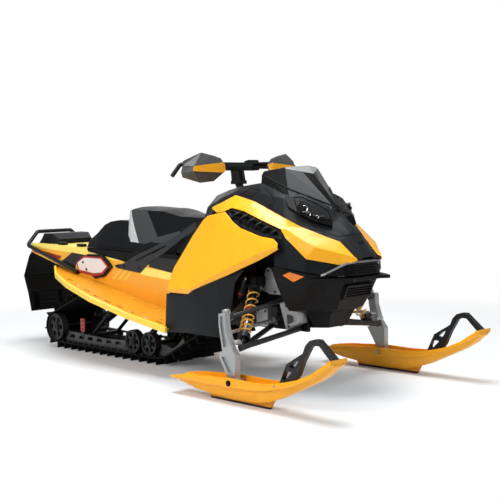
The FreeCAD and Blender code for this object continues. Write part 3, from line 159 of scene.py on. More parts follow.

# Lines that are laid on the bodywork
# A near-black bead along the cheeks' joint with the belly pan: the joint, and painted shadow under the
# cheeks' overhang
LIP_SHADOW_LINE = [(0.893, -0.24, 0.598), (1.031, -0.24, 0.582), (1.156, -0.24, 0.571), (1.294, -0.24, 0.568)]
HOOD_SEAMS = [
    [(0.549, -0.150, 0.949), (0.636, -0.160, 0.979), (0.701, -0.160, 0.967), (0.668, -0.190, 0.937),
     (0.549, -0.150, 0.949)],
    [(0.767, -0.195, 0.977), (0.813, -0.195, 0.943), (0.833, -0.195, 0.903), (0.811, -0.195, 0.876)],
    [(0.925, -0.190, 0.790), (1.070, -0.130, 0.769), (1.127, -0.070, 0.740), (1.170, -0.002, 0.750)],
]
# Lid lines on the storage box, made as beads lighter than the box: painted highlight along its edges
BOX_SEAM_HIGHLIGHTS = [[(-0.840, -0.180, 0.668), (-0.620, -0.180, 0.682), (-0.400, -0.180, 0.668)],
             [(-0.700, -0.150, 0.765), (-0.540, -0.150, 0.772), (-0.440, -0.150, 0.760)]]
SCREEN_EDGE = [(0.741, -0.180, 1.040), (0.921, -0.180, 0.967), (1.119, -0.100, 0.886), (1.084, -0.050, 0.844)]
HOOD_PLUGS = [(0.808, -0.200, 0.894), (1.201, -0.010, 0.711)]
SKI_RIM = [(0.572, -0.585, 0.069), (0.660, -0.585, 0.064), (0.787, -0.585, 0.062), (0.910, -0.585, 0.064),
           (1.040, -0.585, 0.070), (1.178, -0.585, 0.094), (1.298, -0.585, 0.136), (1.391, -0.585, 0.176)]
SKI_CHINE = [(0.734, -0.570, 0.041), (0.893, -0.570, 0.042), (1.037, -0.570, 0.053), (1.168, -0.570, 0.073)]

# Footwell panels: they stand upright as far as the bend and slope forward over it
FOOTWELL_X = 0.315
FOOTWELL_WALL = 0.002
FOOTWELL_LOW = 0.34
FOOTWELL_STEP = 0.012
FOOTWELL_ROWS = 45
FOOTWELL_BEND = 0.62
FOOTWELL_SLOPE = 1.25

# The snow flap's front face as (z, x), from the top
FLAP_ROWS = ((0.580, -1.440), (0.445, -1.520), (0.330, -1.490), (0.212, -1.475))

# Nodes whose edges are rounded by a bevel
SOFT_NODES = ["side_panels", "hood", "nose_strips", "cheeks", "belly_pan", "lower_panels", "front_bumper",
              "storage_box", "tank", "seat_brackets", "hand_guards", "guard_bands", "windshield",
              "tail_light", "board_edges", "ski_right", "ski_left", "ski_loop_right", "ski_loop_left",
              "bulkhead_castings", "spindle_right", "spindle_left", "bar_pad", "snow_flap"]


def socket(tree, name, value):
    """Set one input of the shader."""
    tree.nodes["Principled BSDF"].inputs[name].default_value = value


def new_node(tree, kind, **values):
    """Add one shader node and set its inputs by name."""
    node = tree.nodes.new(kind)
    for name, value in values.items():
        node.inputs[name.replace("_", " ")].default_value = value
    return node


def blend_colour(tree, a, b, factor):
    """Mix two colours, given as a socket or a value, by a factor socket."""
    mix = tree.nodes.new("ShaderNodeMix")
    mix.data_type = "RGBA"
    for name, value in (("A", a), ("B", b)):
        if isinstance(value, tuple):
            mix.inputs[name].default_value = (*value, 1.0)
        else:
            tree.links.new(value, mix.inputs[name])
    tree.links.new(factor, mix.inputs["Factor"])
    return mix.outputs["Result"]


def ramp(tree, value, low, high):
    """A clamped ramp from 0 to 1 between two values of a socket."""
    node = new_node(tree, "ShaderNodeMapRange")
    node.inputs["From Min"].default_value = low
    node.inputs["From Max"].default_value = high
    tree.links.new(value, node.inputs["Value"])
    return node.outputs["Result"]


def combine(tree, operation, a, b):
    """One math node on two values, each a socket or a number."""
    node = tree.nodes.new("ShaderNodeMath")
    node.operation = operation
    for place, value in zip(node.inputs, (a, b)):
        if isinstance(value, float):
            place.default_value = value
        else:
            tree.links.new(value, place)
    return node.outputs["Value"]


def plane_value(tree, normal):
    """The object position's distance along a direction, its sideways part taken without sign."""
    where = tree.nodes.new("ShaderNodeTexCoord").outputs["Object"]
    fold = tree.nodes.new("ShaderNodeVectorMath")
    fold.operation = "ABSOLUTE"
    tree.links.new(where, fold.inputs[0])
    parts = tree.nodes.new("ShaderNodeSeparateXYZ")
    tree.links.new(where, parts.inputs[0])
    folded = tree.nodes.new("ShaderNodeSeparateXYZ")
    tree.links.new(fold.outputs["Vector"], folded.inputs[0])
    join = tree.nodes.new("ShaderNodeCombineXYZ")
    tree.links.new(parts.outputs["X"], join.inputs["X"])
    tree.links.new(folded.outputs["Y"], join.inputs["Y"])
    tree.links.new(parts.outputs["Z"], join.inputs["Z"])
    dot = tree.nodes.new("ShaderNodeVectorMath")
    dot.operation = "DOT_PRODUCT"
    dot.inputs[1].default_value = normal
    tree.links.new(join.outputs["Vector"], dot.inputs[0])
    return dot.outputs["Value"]


def region_share(tree, planes):
    """How far a place lies inside a region: the least of its planes' ramps."""
    share = None
    for direction, start, end in planes:
        here = ramp(tree, plane_value(tree, direction), start, end)
        share = here if share is None else combine(tree, "MINIMUM", share, here)
    return share


def finish_material(name, colour, rough, metal=0.0, coat=0.0, vary=0.12, vary_scale=6.0, grain=900.0,
                    grain_height=0.08, rough_vary=0.1, wear=None, regions=(), speckle=None, specular=0.5):
    """A solid finish with drifting tone, fine grain and, where given, wear, speckle and coloured regions.

    A region is (colour, planes), and a plane is (direction, start, end). The distance along the direction,
    with y taken without its sign, brings the colour in from start to end. The region lies where all its
    planes bring it in.
    """
    m = bpy.data.materials.new(name)
    m.use_nodes = True
    t = m.node_tree
    shader = t.nodes["Principled BSDF"]
    link = t.links.new
    where = t.nodes.new("ShaderNodeTexCoord").outputs["Object"]
    drift = new_node(t, "ShaderNodeTexNoise", Scale=vary_scale, Detail=5.0, Roughness=0.6)
    link(where, drift.inputs["Vector"])
    low = tuple(c * (1.0 - vary) for c in colour)
    high = tuple(min(1.0, c * (1.0 + vary)) for c in colour)
    out = blend_colour(t, low, high, drift.outputs["Fac"])
    for tint, planes in regions:
        out = blend_colour(t, out, tint, region_share(t, planes))
    if speckle is not None:
        tint, cut = speckle
        spots = new_node(t, "ShaderNodeTexNoise", Scale=38.0, Detail=9.0, Roughness=0.75)
        link(where, spots.inputs["Vector"])
        out = blend_colour(t, out, tint, ramp(t, spots.outputs["Fac"], cut, cut + 0.03))
    if wear is not None:
        geometry = t.nodes.new("ShaderNodeNewGeometry")
        edge = ramp(t, geometry.outputs["Pointiness"], 0.52, 0.62)
        break_up = new_node(t, "ShaderNodeTexNoise", Scale=60.0, Detail=4.0)
        link(where, break_up.inputs["Vector"])
        out = blend_colour(t, out, wear, combine(t, "MULTIPLY", edge, break_up.outputs["Fac"]))
    link(out, shader.inputs["Base Color"])
    socket(t, "Metallic", metal)
    socket(t, "Coat Weight", coat)
    socket(t, "Coat Roughness", 0.06)
    socket(t, "Specular IOR Level", specular)
    gloss = new_node(t, "ShaderNodeMapRange")
    gloss.inputs["To Min"].default_value = max(0.02, rough - rough_vary)
    gloss.inputs["To Max"].default_value = min(1.0, rough + rough_vary)
    link(drift.outputs["Fac"], gloss.inputs["Value"])
    link(gloss.outputs["Result"], shader.inputs["Roughness"])
    if grain_height > 0:
        fine = new_node(t, "ShaderNodeTexNoise", Scale=grain, Detail=3.0)
        link(where, fine.inputs["Vector"])
        bump = new_node(t, "ShaderNodeBump", Strength=grain_height, Distance=0.001)
        link(fine.outputs["Fac"], bump.inputs["Height"])
        link(bump.outputs["Normal"], shader.inputs["Normal"])
    return m


MATS = {
    "yellow": finish_material("yellow_moulding", YELLOW, 0.28, **GLOSS),
    "strip": finish_material("strip_yellow", YELLOW, 0.28, **GLOSS),
    "ski": finish_material("ski_yellow", (0.88, 0.38, 0.010), 0.34, coat=0.1, vary=0.05, vary_scale=5.0,
                           rough_vary=0.06, specular=0.3, **FINE_GRAIN),
    "orange": finish_material("tunnel_orange", ORANGE, 0.34, coat=0.3, vary=0.16, vary_scale=9.0, grain=300.0,
                              grain_height=0.03, regions=[TUNNEL_FADE, TUNNEL_DECK, TUNNEL_FRONT],
                              speckle=((0.6, 0.18, 0.006), 0.64)),
    "board": finish_material("board_orange", (0.66, 0.27, 0.012), 0.4, vary=0.14, grain=300.0,
                             grain_height=0.03, specular=0.3, speckle=((0.16, 0.045, 0.004), 0.60)),
    "edge": finish_material("board_edge_yellow", (0.95, 0.60, 0.045), 0.3, coat=0.4, vary=0.04, **FINE_GRAIN),
    "dark": finish_material("dark_moulding", CHARCOAL, 0.42, vary=0.1, specular=0.17, **MOULDED),
    "panel": finish_material("lower_panel_moulding", (0.0098, 0.0114, 0.0126), 0.45, vary=0.08, specular=0.14,
                             **MOULDED),
    "cheek": finish_material("cheek_moulding", (0.0060, 0.0080, 0.0092), 0.45, vary=0.08, specular=0.12,
                             **MOULDED),
    "bracket": finish_material("bracket_paint", (0.026, 0.029, 0.031), 0.4, vary=0.1, grain=1400.0,
                               grain_height=0.12, specular=0.3),
    "guard": finish_material("smoked_guard", (0.070, 0.071, 0.069), 0.34, vary=0.15, vary_scale=12.0,
                             grain_height=0.0, specular=0.3),
    "seam": finish_material("panel_gap", (0.0012, 0.0012, 0.0014), 0.7, grain_height=0.0, specular=0.05),
    "black": finish_material("black_moulding", BLACK, 0.45, specular=0.16, **BLACK_MOULDED),
    "belly": finish_material("belly_moulding", (0.0058, 0.0055, 0.0054), 0.42, specular=0.14,
                             **BLACK_MOULDED),
    # The runners' near-black is partly their dark steel and partly painted shadow under the skis
    "runner": finish_material("runner_steel_and_shadow", (0.010, 0.010, 0.011), 0.4, grain=700.0, grain_height=0.1,
                              specular=0.3, regions=[RUNNER_KEEL]),
    "black_metal": finish_material("black_powder_coat", (0.006, 0.006, 0.007), 0.36, grain=1600.0,
                                   grain_height=0.12, wear=(0.03, 0.03, 0.03), specular=0.35),
    "frame": finish_material("bulkhead_black", (0.003, 0.003, 0.0035), 0.55, grain=900.0, grain_height=0.1,
                             specular=0.2),
    "cast": finish_material("cast_aluminium", (0.42, 0.43, 0.43), 0.42, metal=0.75, grain=700.0,
                            grain_height=0.25, regions=[CASTING_ENDS]),
    "steel": finish_material("ground_steel", (0.38, 0.38, 0.39), 0.3, metal=1.0, grain=500.0,
                             grain_height=0.1),
    "rail": finish_material("rail_grey", (0.085, 0.088, 0.09), 0.45, metal=0.4, grain=500.0,
                            grain_height=0.1),
    "rubber": finish_material("track_rubber", (0.0036, 0.0037, 0.0042), 0.6, vary=0.2, grain=500.0,
                              grain_height=0.3, specular=0.16),
    "wheel": finish_material("wheel_moulding", (0.012, 0.0125, 0.0135), 0.42, vary=0.15, grain=900.0,
                             grain_height=0.15, specular=0.35),
    "seat": finish_material("seat_vinyl", (0.0085, 0.009, 0.0095), 0.55, grain=1500.0, grain_height=0.4,
                            specular=0.22),
    "seat_side": finish_material("seat_side_vinyl", (0.050, 0.054, 0.056), 0.6, grain=1500.0,
                                 grain_height=0.4, specular=0.12, regions=[SEAT_DARK_SIDE, SEAT_PALE_BACK]),
    # Grey for the beads on the lamp lenses: painted highlight where their inner reflector strips catch the
    # light
    "grey": finish_material("lens_highlight_grey", LENS_HIGHLIGHT_GREY, 0.45, grain=1400.0, grain_height=0.2),
    "bar": finish_material("light_bar_grey", (0.24, 0.245, 0.25), 0.35, metal=0.3, grain=900.0,
                           grain_height=0.1),
    # The screen's regions paint a reflection near its top and shade over its rear part
    "screen": finish_material("smoked_screen", (0.082, 0.086, 0.088), 0.25, coat=0.1, vary=0.03,
                              grain_height=0.0, rough_vary=0.03, specular=0.2,
                              regions=[SCREEN_MIDDLE, SCREEN_TOP_REFLECTION, SCREEN_REAR_SHADE]),
    "lens_clear": finish_material("lamp_lens", (0.0035, 0.0038, 0.0042), 0.36, vary=0.02, grain_height=0.0,
                                  rough_vary=0.02, specular=0.2),
    "lamp_ring": finish_material("lamp_chrome", (0.6, 0.61, 0.63), 0.12, metal=1.0, grain_height=0.0),
    "reflector": finish_material("orange_reflector", (0.80, 0.21, 0.02), 0.25, coat=0.4, vary=0.1,
                                 vary_scale=60.0, grain_height=0.0),
    "spring": finish_material("spring_coat", (0.86, 0.42, 0.04), 0.3, coat=0.4, vary=0.05, grain=400.0,
                              grain_height=0.02),
    "red": finish_material("red_print", RED, 0.35, coat=0.2, vary=0.1, **FINE_GRAIN),
    "white": finish_material("white_print", (0.78, 0.74, 0.73), 0.35, coat=0.2, vary=0.04, **FINE_GRAIN),
    "print_black": finish_material("black_print", (0.008, 0.008, 0.009), 0.35, coat=0.2, **FINE_GRAIN),
    "print_light": finish_material("light_print", (0.95, 0.56, 0.06), 0.35, coat=0.2, vary=0.05,
                                   **FINE_GRAIN),
    "print_bright": finish_material("bright_print", (0.97, 0.78, 0.16), 0.3, coat=0.3, vary=0.04,
                                    **FINE_GRAIN),
}

NODE_MATS = {
    "yellow": ["side_panels", "guard_bands"],
    "strip": ["nose_strips"],
    "ski": ["ski_right", "ski_left"],
    "orange": ["tunnel"],
    "board": ["running_boards"],
    "edge": ["board_edges"],
    "dark": ["hood"],
    "bracket": ["seat_brackets"],
    "panel": ["lower_panels", "bar_pad"],
    "cheek": ["cheeks"],
    "guard": ["hand_guards"],
    "belly": ["belly_pan", "front_bumper"],
    "black": ["storage_box", "tank", "vent_ducts", "side_plates", "nose_grille", "cargo_anchors",
              "bar_controls", "tail_light"],
    "wheel": ["rear_idler_wheels", "rail_wheels", "drive_sprockets", "upper_idler_wheels"],
    "black_metal": ["engine", "suspension_arms", "front_shocks", "steering_frame", "handlebar",
                    "handlebar_riser", "skid_arms", "rear_bumper", "ski_loop_right", "ski_loop_left"],
    "runner": ["ski_runner_right", "ski_runner_left"],
    "frame": ["bulkhead"],
    "cast": ["bulkhead_castings", "spindle_right", "spindle_left", "tie_rod_right", "tie_rod_left"],
    "steel": ["steering_rack"],
    "rail": ["slide_rails"],
    "rubber": ["track", "snow_flap", "grips"],
    "seat": ["seat"],
    "screen": ["windshield"],
    "lens_clear": ["headlights"],
    "reflector": ["side_reflectors"],
    "bar": ["light_bar"],
    "spring": ["front_springs"],
}
for key, names in NODE_MATS.items():
    for name in names:
        NODE[name].data.materials.clear()
        NODE[name].data.materials.append(MATS[key])


def soften(name, width=0.0015, angle=35.0, segments=2):
    """Round the sharp edges of a solid as the mould or the press does."""
    o = NODE[name]
    weld = o.modifiers.new("weld", "WELD")
    weld.merge_threshold = 0.00002
    bevel = o.modifiers.new("bevel", "BEVEL")
    bevel.width = width
    bevel.segments = segments
    bevel.limit_method = "ANGLE"
    bevel.angle_limit = math.radians(angle)
    bevel.harden_normals = False


class Form:
    """A mesh that grows from simple shapes and becomes one piece."""

    def __init__(self):
        self.verts = []
        self.faces = []
        self.marks = []

    def add(self, verts, faces, mark=0):
        """Add corner points and the faces over them."""
        base = len(self.verts)
        self.verts += [Vector(v) for v in verts]
        self.faces += [[base + i for i in f] for f in faces]
        self.marks += [mark] * len(faces)

    def prism(self, outline, y0, y1, mark=0):
        """A plate between two planes across the machine, from (x, z) corners."""
        n = len(outline)
        verts = [(x, y0, z) for x, z in outline] + [(x, y1, z) for x, z in outline]
        faces = [list(range(n)), list(range(2 * n - 1, n - 1, -1))]
        faces += [[i, i + n, (i + 1) % n + n, (i + 1) % n] for i in range(n)]
        self.add(verts, faces, mark)

    def loft(self, rings, mark=0):
        """A closed body through rings that have the same number of corners."""
        n = len(rings[0])
        faces = [list(range(n))]
        for base in range(0, n * (len(rings) - 1), n):
            faces += [[base + k, base + n + k, base + n + (k + 1) % n, base + (k + 1) % n] for k in range(n)]
        last = n * (len(rings) - 1)
        faces.append([last + k for k in reversed(range(n))])
        self.add([v for ring in rings for v in ring], faces, mark)

    def sweep(self, points, radius, sides=10, mark=0):
        """A round bar through points, with closed ends; the radius may be a list, one for each point."""
        points = [Vector(p) for p in points]
        radii = radius if isinstance(radius, list) else [radius] * len(points)
        verts = []
        across = None
        for i, p in enumerate(points):
            run = (points[min(i + 1, len(points) - 1)] - points[max(i - 1, 0)]).normalized()
            if across is None:
                across = run.orthogonal().normalized()
            else:
                across = (across - run * across.dot(run)).normalized()
            other = run.cross(across)
            for k in range(sides):
                a = 2 * math.pi * k / sides
                verts.append(p + (across * math.cos(a) + other * math.sin(a)) * radii[i])
        faces = []
        for i in range(len(points) - 1):
            for k in range(sides):
                faces.append([i * sides + k, i * sides + (k + 1) % sides, (i + 1) * sides + (k + 1) % sides,
                              (i + 1) * sides + k])
        faces.append(list(range(sides - 1, -1, -1)))
        last = (len(points) - 1) * sides
        faces.append([last + k for k in range(sides)])
        self.add(verts, faces, mark)

    def cap(self, at, normal, rises, radii, sides, mark=0):
        """A round cap along a face's direction, from its rises over the face and its radii there."""
        at = Vector(at)
        normal = Vector(normal)
        self.sweep([at + normal * rise for rise in rises], list(radii), sides, mark)

    def bolt(self, at, normal, radius, height):
        """A socket-head screw standing on a face."""
        self.cap(at, normal, (-0.002, height * 0.8, height), (radius, radius, radius * 0.8), 14)
        self.cap(at, normal, (height * 0.6, height + 0.0004), (radius * 0.45, radius * 0.45), 6)

    def mirror(self):
        """Add the other side of everything so far."""
        self.add([(v.x, -v.y, v.z) for v in self.verts], [])
        n = len(self.verts) // 2
        self.faces += [[i + n for i in reversed(f)] for f in self.faces]
        self.marks += self.marks

    def piece(self, name, mats, body="root", smooth=None):
        """Make the piece, ride it on a body and give it its finish."""
        mesh = bpy.data.meshes.new(name)
        mesh.from_pydata([tuple(v) for v in self.verts], [], self.faces)
        for mat in mats:
            mesh.materials.append(MATS[mat])
        for face, mark in zip(mesh.polygons, self.marks):
            face.material_index = mark
        work = bmesh.new()
        work.from_mesh(mesh)
        bmesh.ops.recalc_face_normals(work, faces=work.faces)
        work.to_mesh(mesh)
        work.free()
        if smooth is not None:
            mesh.polygons.foreach_set("use_smooth", [True] * len(mesh.polygons))
            mesh.set_sharp_from_angle(angle=math.radians(smooth))
        o = bpy.data.objects.new(name, mesh)
        bpy.context.scene.collection.objects.link(o)
        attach(o, body)
        return o


def surface_of(*names):
    """A tree of the named nodes' faces, to set things on."""
    verts = []
    faces = []
    for name in names:
        base = len(verts)
        mesh = NODE[name].data
        verts += [NODE[name].matrix_world @ v.co for v in mesh.vertices]
        faces += [[base + i for i in p.vertices] for p in mesh.polygons]
    return BVHTree.FromPolygons(verts, faces)


def sight(tree, at):
    """Where the camera's line through a place meets a surface, and the surface's direction there."""
    return tree.ray_cast(CAMERA_AT, (Vector(at) - CAMERA_AT).normalized())[:2]


def drop(tree, points, spacing=0.01, closest=0.003):
    """A line laid on a surface along the camera's sight lines, close enough to follow it."""
    laid = []
    for a, b in zip(points, points[1:]):
        a = Vector(a)
        b = Vector(b)
        count = max(1, int((b - a).length / spacing))
        for i in range(count + 1):
            hit = sight(tree, a.lerp(b, i / count))[0]
            if hit is not None and (not laid or (hit - laid[-1]).length > closest):
                laid.append(hit)
    return laid


def circle(centre, across, other, radius, sides):
    """A closed ring of points in the plane of two directions."""
    return [centre + (across * math.cos(a) + other * math.sin(a)) * radius
            for a in (2 * math.pi * k / sides for k in range(sides + 1))]


def groove(value, place, width):
    """The depth of a sewn groove: 1 at its place, and nearly nothing two widths away."""
    return math.exp(-((value - place) / width) ** 2)


def seat_section(x):
    """Half width and height of the seat's top, then of its foot, at a place along it."""
    for a, b in zip(SEAT_STATIONS, SEAT_STATIONS[1:]):
        if x <= b[0] + 1e-9:
            break
    f = (x - a[0]) / (b[0] - a[0])
    f = f * f * (3 - 2 * f)
    return [a[k] + (b[k] - a[k]) * f for k in (1, 2, 3, 4)]


def seat_point(x, turn):
    """A point of the seat's skin, at a share of the way from the right foot over the top to the left foot."""
    top, high, low, foot = seat_section(x)
    end = min((x - SEAT_REAR) / SEAT_REAR_ROUND, (SEAT_FRONT - x) / SEAT_FRONT_ROUND, 1.0)
    size = 1 - SEAT_END_SHRINK + SEAT_END_SHRINK * math.sqrt(max(0.0, 1 - (1 - end) ** 2))
    share = abs(2 * turn - 1)
    side = -1 if turn < 0.5 else 1
    if share > 0.5:
        down = (share - 0.5) * 2
        half = top + (low - top) * down ** 1.3 + SEAT_BULGE * math.sin(math.pi * down)
        z = high - SEAT_EDGE_DROP - (high - SEAT_EDGE_DROP - foot) * down
        seam = groove(down, 0.04, 0.02) + 0.8 * groove(down, 0.55, 0.02)
    else:
        out = share / 0.5
        half = top * out ** 0.92
        z = high - SEAT_EDGE_DROP * out ** 3 + SEAT_CROWN * math.cos(share * math.pi)
        seam = 0.9 * groove(share, 0.36, 0.012) + 0.7 * sum(groove(x, p, SEAT_SEAM_WIDTH) for p in SEAT_SEAMS)
    middle = Vector((x, 0, (high + foot) / 2))
    p = middle + (Vector((x, side * half, z)) - middle) * size
    return p - (p - middle).normalized() * (SEAT_DENT * min(1.0, seam))


def seat_cushion():
    """The seat: a crowned black top, grey sewn sides and a pale strip at the back."""
    form = Form()
    rings = [[seat_point(SEAT_REAR + (SEAT_FRONT - SEAT_REAR) * i / SEAT_STEPS, k / SEAT_AROUND)
              for k in range(SEAT_AROUND + 1)] for i in range(SEAT_STEPS + 1)]
    form.loft(rings)
    around = [1 if abs(2 * (k + 0.5) / SEAT_AROUND - 1) > 0.5 else 0 for k in range(SEAT_AROUND)]
    form.marks = [1] + (around + [0]) * SEAT_STEPS + [0]
    o = form.piece("seat_cushion", ["seat", "seat_side"], smooth=50)
    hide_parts("seat")


def make_springs():
    """Both coil-overs' wound springs, whose first and last stretch of wire lies flat on its seat."""
    form = Form()
    run = SHOCK_BOTTOM - SHOCK_TOP
    along = run.normalized()
    across = along.orthogonal().normalized()
    other = along.cross(across)
    for start, end, turns in SPRING_SPANS:
        a = SHOCK_TOP + run * start
        b = SHOCK_TOP + run * end
        count = int(turns * SPRING_STEPS)
        lie = SPRING_WIRE / (b - a).length
        points = []
        for i in range(count + 1):
            turn = 2 * math.pi * turns * i / count
            share = min(max((1 + 2 * SPRING_FLAT) * i / count - SPRING_FLAT, lie), 1 - lie)
            out = across * math.cos(turn) + other * math.sin(turn)
            points.append(a + (b - a) * share + out * SPRING_RADIUS)
        form.sweep(points, SPRING_WIRE, 8)
    form.mirror()
    o = form.piece("coil_springs", ["spring"], smooth=60)
    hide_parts("front_springs")


def make_shock_trim():
    """Red collars, bright rods and the reservoirs' ends on both coil-overs."""
    form = Form()
    run = SHOCK_BOTTOM - SHOCK_TOP
    axis = (RESERVOIR_FOOT - RESERVOIR_TOP).normalized()
    form.cap(RESERVOIR_TOP, axis, (0.070, 0.080), (0.0215, 0.0215), 20, 0)
    form.sweep([SHOCK_TOP + run * 0.40, SHOCK_TOP + run * 0.47], 0.0185, 18, 0)
    form.sweep([SHOCK_TOP + run * 0.62, SHOCK_TOP + run * 0.84], 0.0100, 14, 1)
    form.cap(RESERVOIR_TOP, axis, (-0.012, 0.004), (0.008, 0.012), 14, 1)
    form.mirror()
    form.piece("shock_trim", ["red", "steel"], smooth=40)


def make_tunnel_print():
    """Printed shapes on both tunnel sides."""
    red, dark, light, bright = range(4)
    patches = [
        (red, 0.0, [(-1.385, 0.607), (-1.385, 0.630), (-1.323, 0.624), (-1.052, 0.591), (-1.075, 0.572),
                    (-1.217, 0.585)]),
        (dark, 0.0, [(-0.931, 0.617), (-0.755, 0.602), (-0.824, 0.581), (-0.886, 0.556), (-0.910, 0.509),
                     (-1.062, 0.554)]),
        (bright, 0.0, [(-1.398, 0.646), (-0.755, 0.603), (-0.45, 0.580), (-0.45, 0.637), (-1.398, 0.6655)]),
        (dark, 0.0, [(-0.165, 0.557), (0.0, 0.536), (0.258, 0.505), (0.258, 0.608), (-0.165, 0.620)]),
        (bright, 0.0, [(-0.245, 0.511), (-0.203, 0.553), (0.0, 0.535), (0.258, 0.504), (0.258, 0.464),
                       (0.007, 0.492)]),
    ]
    for x in (-0.44, -0.385, -0.33):
        slash = [(x + 0.02, 0.548), (x + 0.045, 0.546), (x - 0.055, 0.470), (x - 0.08, 0.472)]
        patches.append((light, 0.0, slash))
    patches += [
        (dark, 0.0002, [(-0.905, 0.498), (-0.860, 0.505), (-0.835, 0.495), (-0.870, 0.486)]),
        (dark, 0.0, [(0.050, 0.452), (0.080, 0.462), (0.250, 0.458), (0.250, 0.438), (0.080, 0.437)]),
    ]
    form = Form()
    for mark, lift, outline in patches:
        form.prism(outline, -TUNNEL_SIDE - 0.0002 - lift, -TUNNEL_SIDE - 0.0006 - lift, mark)
    form.mirror()
    form.piece("tunnel_print", ["red", "print_black", "print_light", "print_bright"])


def make_box_skirt():
    """The storage box's flange, which wraps over the tunnel's shoulder."""
    outer = -TUNNEL_SIDE - 0.0012
    sunk = -TUNNEL_SIDE + 0.0002
    inner = -0.160
    rear_side = [(-0.768, 0.652), (-0.760, 0.628), (-0.430, 0.584), (-0.300, 0.622), (-0.300, 0.638)]
    rear_top = [(-0.768, 0.6475), (-0.300, 0.6335), (-0.300, 0.638), (-0.768, 0.652)]
    front_side = [(-0.430, 0.584), (-0.300, 0.6335), (0.258, 0.6165), (0.258, 0.600), (-0.100, 0.612),
                  (-0.200, 0.560), (-0.270, 0.556)]
    front_top = [(-0.300, 0.6335), (0.258, 0.6165), (0.258, 0.6205), (-0.300, 0.638)]
    form = Form()
    form.prism(rear_side, outer, sunk)
    form.prism(rear_top, outer, inner)
    form.prism(front_side, outer + 0.0001, sunk)
    form.prism(front_top, outer, inner)
    form.mirror()
    form.piece("box_skirt", ["black"])


def make_number_plates():
    """A pale field with a red edge, set in each dark frame on the tunnel's sides."""
    form = Form()
    frame_face = -TUNNEL_SIDE - PLATE_GAP - PLATE_THICK
    edge = [(-0.872, 0.557), (-0.792, 0.602), (-0.742, 0.600), (-0.604, 0.598), (-0.536, 0.543),
            (-0.596, 0.496), (-0.677, 0.480), (-0.845, 0.500)]
    field = [(-0.858, 0.556), (-0.790, 0.588), (-0.745, 0.590), (-0.612, 0.588), (-0.555, 0.544),
             (-0.606, 0.508), (-0.690, 0.500), (-0.840, 0.515)]
    form.prism(edge, frame_face + 0.0065, PLATE_FACE, 0)
    form.prism(field, PLATE_FACE + 0.0002, PLATE_FACE - 0.0006, 1)
    form.mirror()
    form.piece("number_plates", ["red", "white"])


def make_bolts():
    """Screw heads over the bodywork and the chassis."""
    form = Form()
    for face, radius, places in SCREWS:
        for x, z in places:
            form.bolt((x, face, z), (0, -1, 0), radius, SCREW_HEIGHT)
    form.mirror()
    form.piece("bolts", ["black_metal"], smooth=30)


def make_wheel_trim():
    """Rubber tyres and hub bolts of the skid's wheels."""
    form = Form()
    for x, z, radius, y in WHEELS:
        hub = (radius * 0.30, radius * 0.30, radius * 0.22)
        form.cap((x, y, z), (0, -1, 0), (-0.002, 0.004, 0.005), hub, 20)
        form.bolt((x, y - 0.005, z), (0, -1, 0), 0.011, 0.006)
        ring = circle(Vector((x, y + 0.0015, z)), Vector((1, 0, 0)), Vector((0, 0, 1)), radius * 0.95, 36)
        form.sweep(ring, 0.0028, 8, 0)
    form.mirror()
    form.piece("wheel_trim", ["wheel"], smooth=40)


def make_lamps():
    """Projector eyes, grey beads painted as highlight lines over the lamp's inner reflector strips, and the
    dark rim of the headlights.
    """
    form = Form()
    glass = surface_of("headlights", "hood")
    across = LAMP_AXIS.orthogonal().normalized()
    other = LAMP_AXIS.cross(across)
    for at, radius in LAMP_EYES:
        hit = sight(glass, at)[0]
        form.sweep(circle(hit, across, other, radius, 32), radius * 0.13, 8, 0)
        form.cap(hit, LAMP_AXIS, (-0.006, 0.001, 0.003), (radius * 0.9, radius * 0.8, radius * 0.3), 20, 1)
    rim = [(x, -0.16, z) for x, z in LENS_RIM]
    form.sweep(drop(glass, rim + rim[:1]), 0.0022, 6, 2)
    # Grey beads along the lens, painted highlight lines
    for bar in LENS_HIGHLIGHT_LINES:
        form.sweep(drop(glass, [(x, -0.16, z) for x, z in bar]), 0.0016, 6, 3)
    form.mirror()
    form.piece("lamp_eyes", ["lamp_ring", "lens_clear", "seam", "grey"], smooth=40)


def make_seams():
    """Panel gaps, a near-black line under the cheeks that is also painted shadow, lid lines on the storage
    box lighter than the box as painted highlight, plugs and the rubber edge under the glass, laid on the
    bodywork.
    """
    form = Form()
    hood = surface_of("hood")
    # The lip line: a joint, and painted shadow under the cheeks' overhang
    form.sweep(drop(surface_of("cheeks", "belly_pan"), LIP_SHADOW_LINE), 0.0030, 6, 0)
    for line in HOOD_SEAMS:
        form.sweep(drop(hood, line), 0.0014, 6, 0)
    box = surface_of("storage_box")
    # Beads in the lighter panel colour: painted highlight on the box's lid lines
    for line in BOX_SEAM_HIGHLIGHTS:
        form.sweep(drop(box, line), 0.0016, 6, 2)
    form.sweep(drop(surface_of("hood", "windshield"), SCREEN_EDGE), 0.0042, 8, 1)
    for at in HOOD_PLUGS:
        hit, normal = sight(hood, at)
        form.cap(hit, normal, (-0.002, 0.0012, 0.0016), (0.009, 0.009, 0.008), 18, 1)
    form.mirror()
    form.piece("panel_gaps", ["seam", "rubber", "panel"], smooth=60)


def make_gap_shade_plates():
    """Near-black plates behind the gaps between the mouldings, which close them: painted shade inside the
    gaps.
    """
    form = Form()
    behind_vent = [(0.60, 0.68), (0.79, 0.68), (0.82, 0.74), (0.78, 0.80), (0.60, 0.80)]
    behind_nose = [(1.05, 0.575), (1.215, 0.575), (1.222, 0.645), (1.15, 0.690), (1.05, 0.690)]
    form.prism(behind_vent, -0.103, -0.100)
    form.mirror()
    form.prism(behind_nose, -0.0015, 0.0015)
    form.piece("gap_shade_plates", ["seam"])


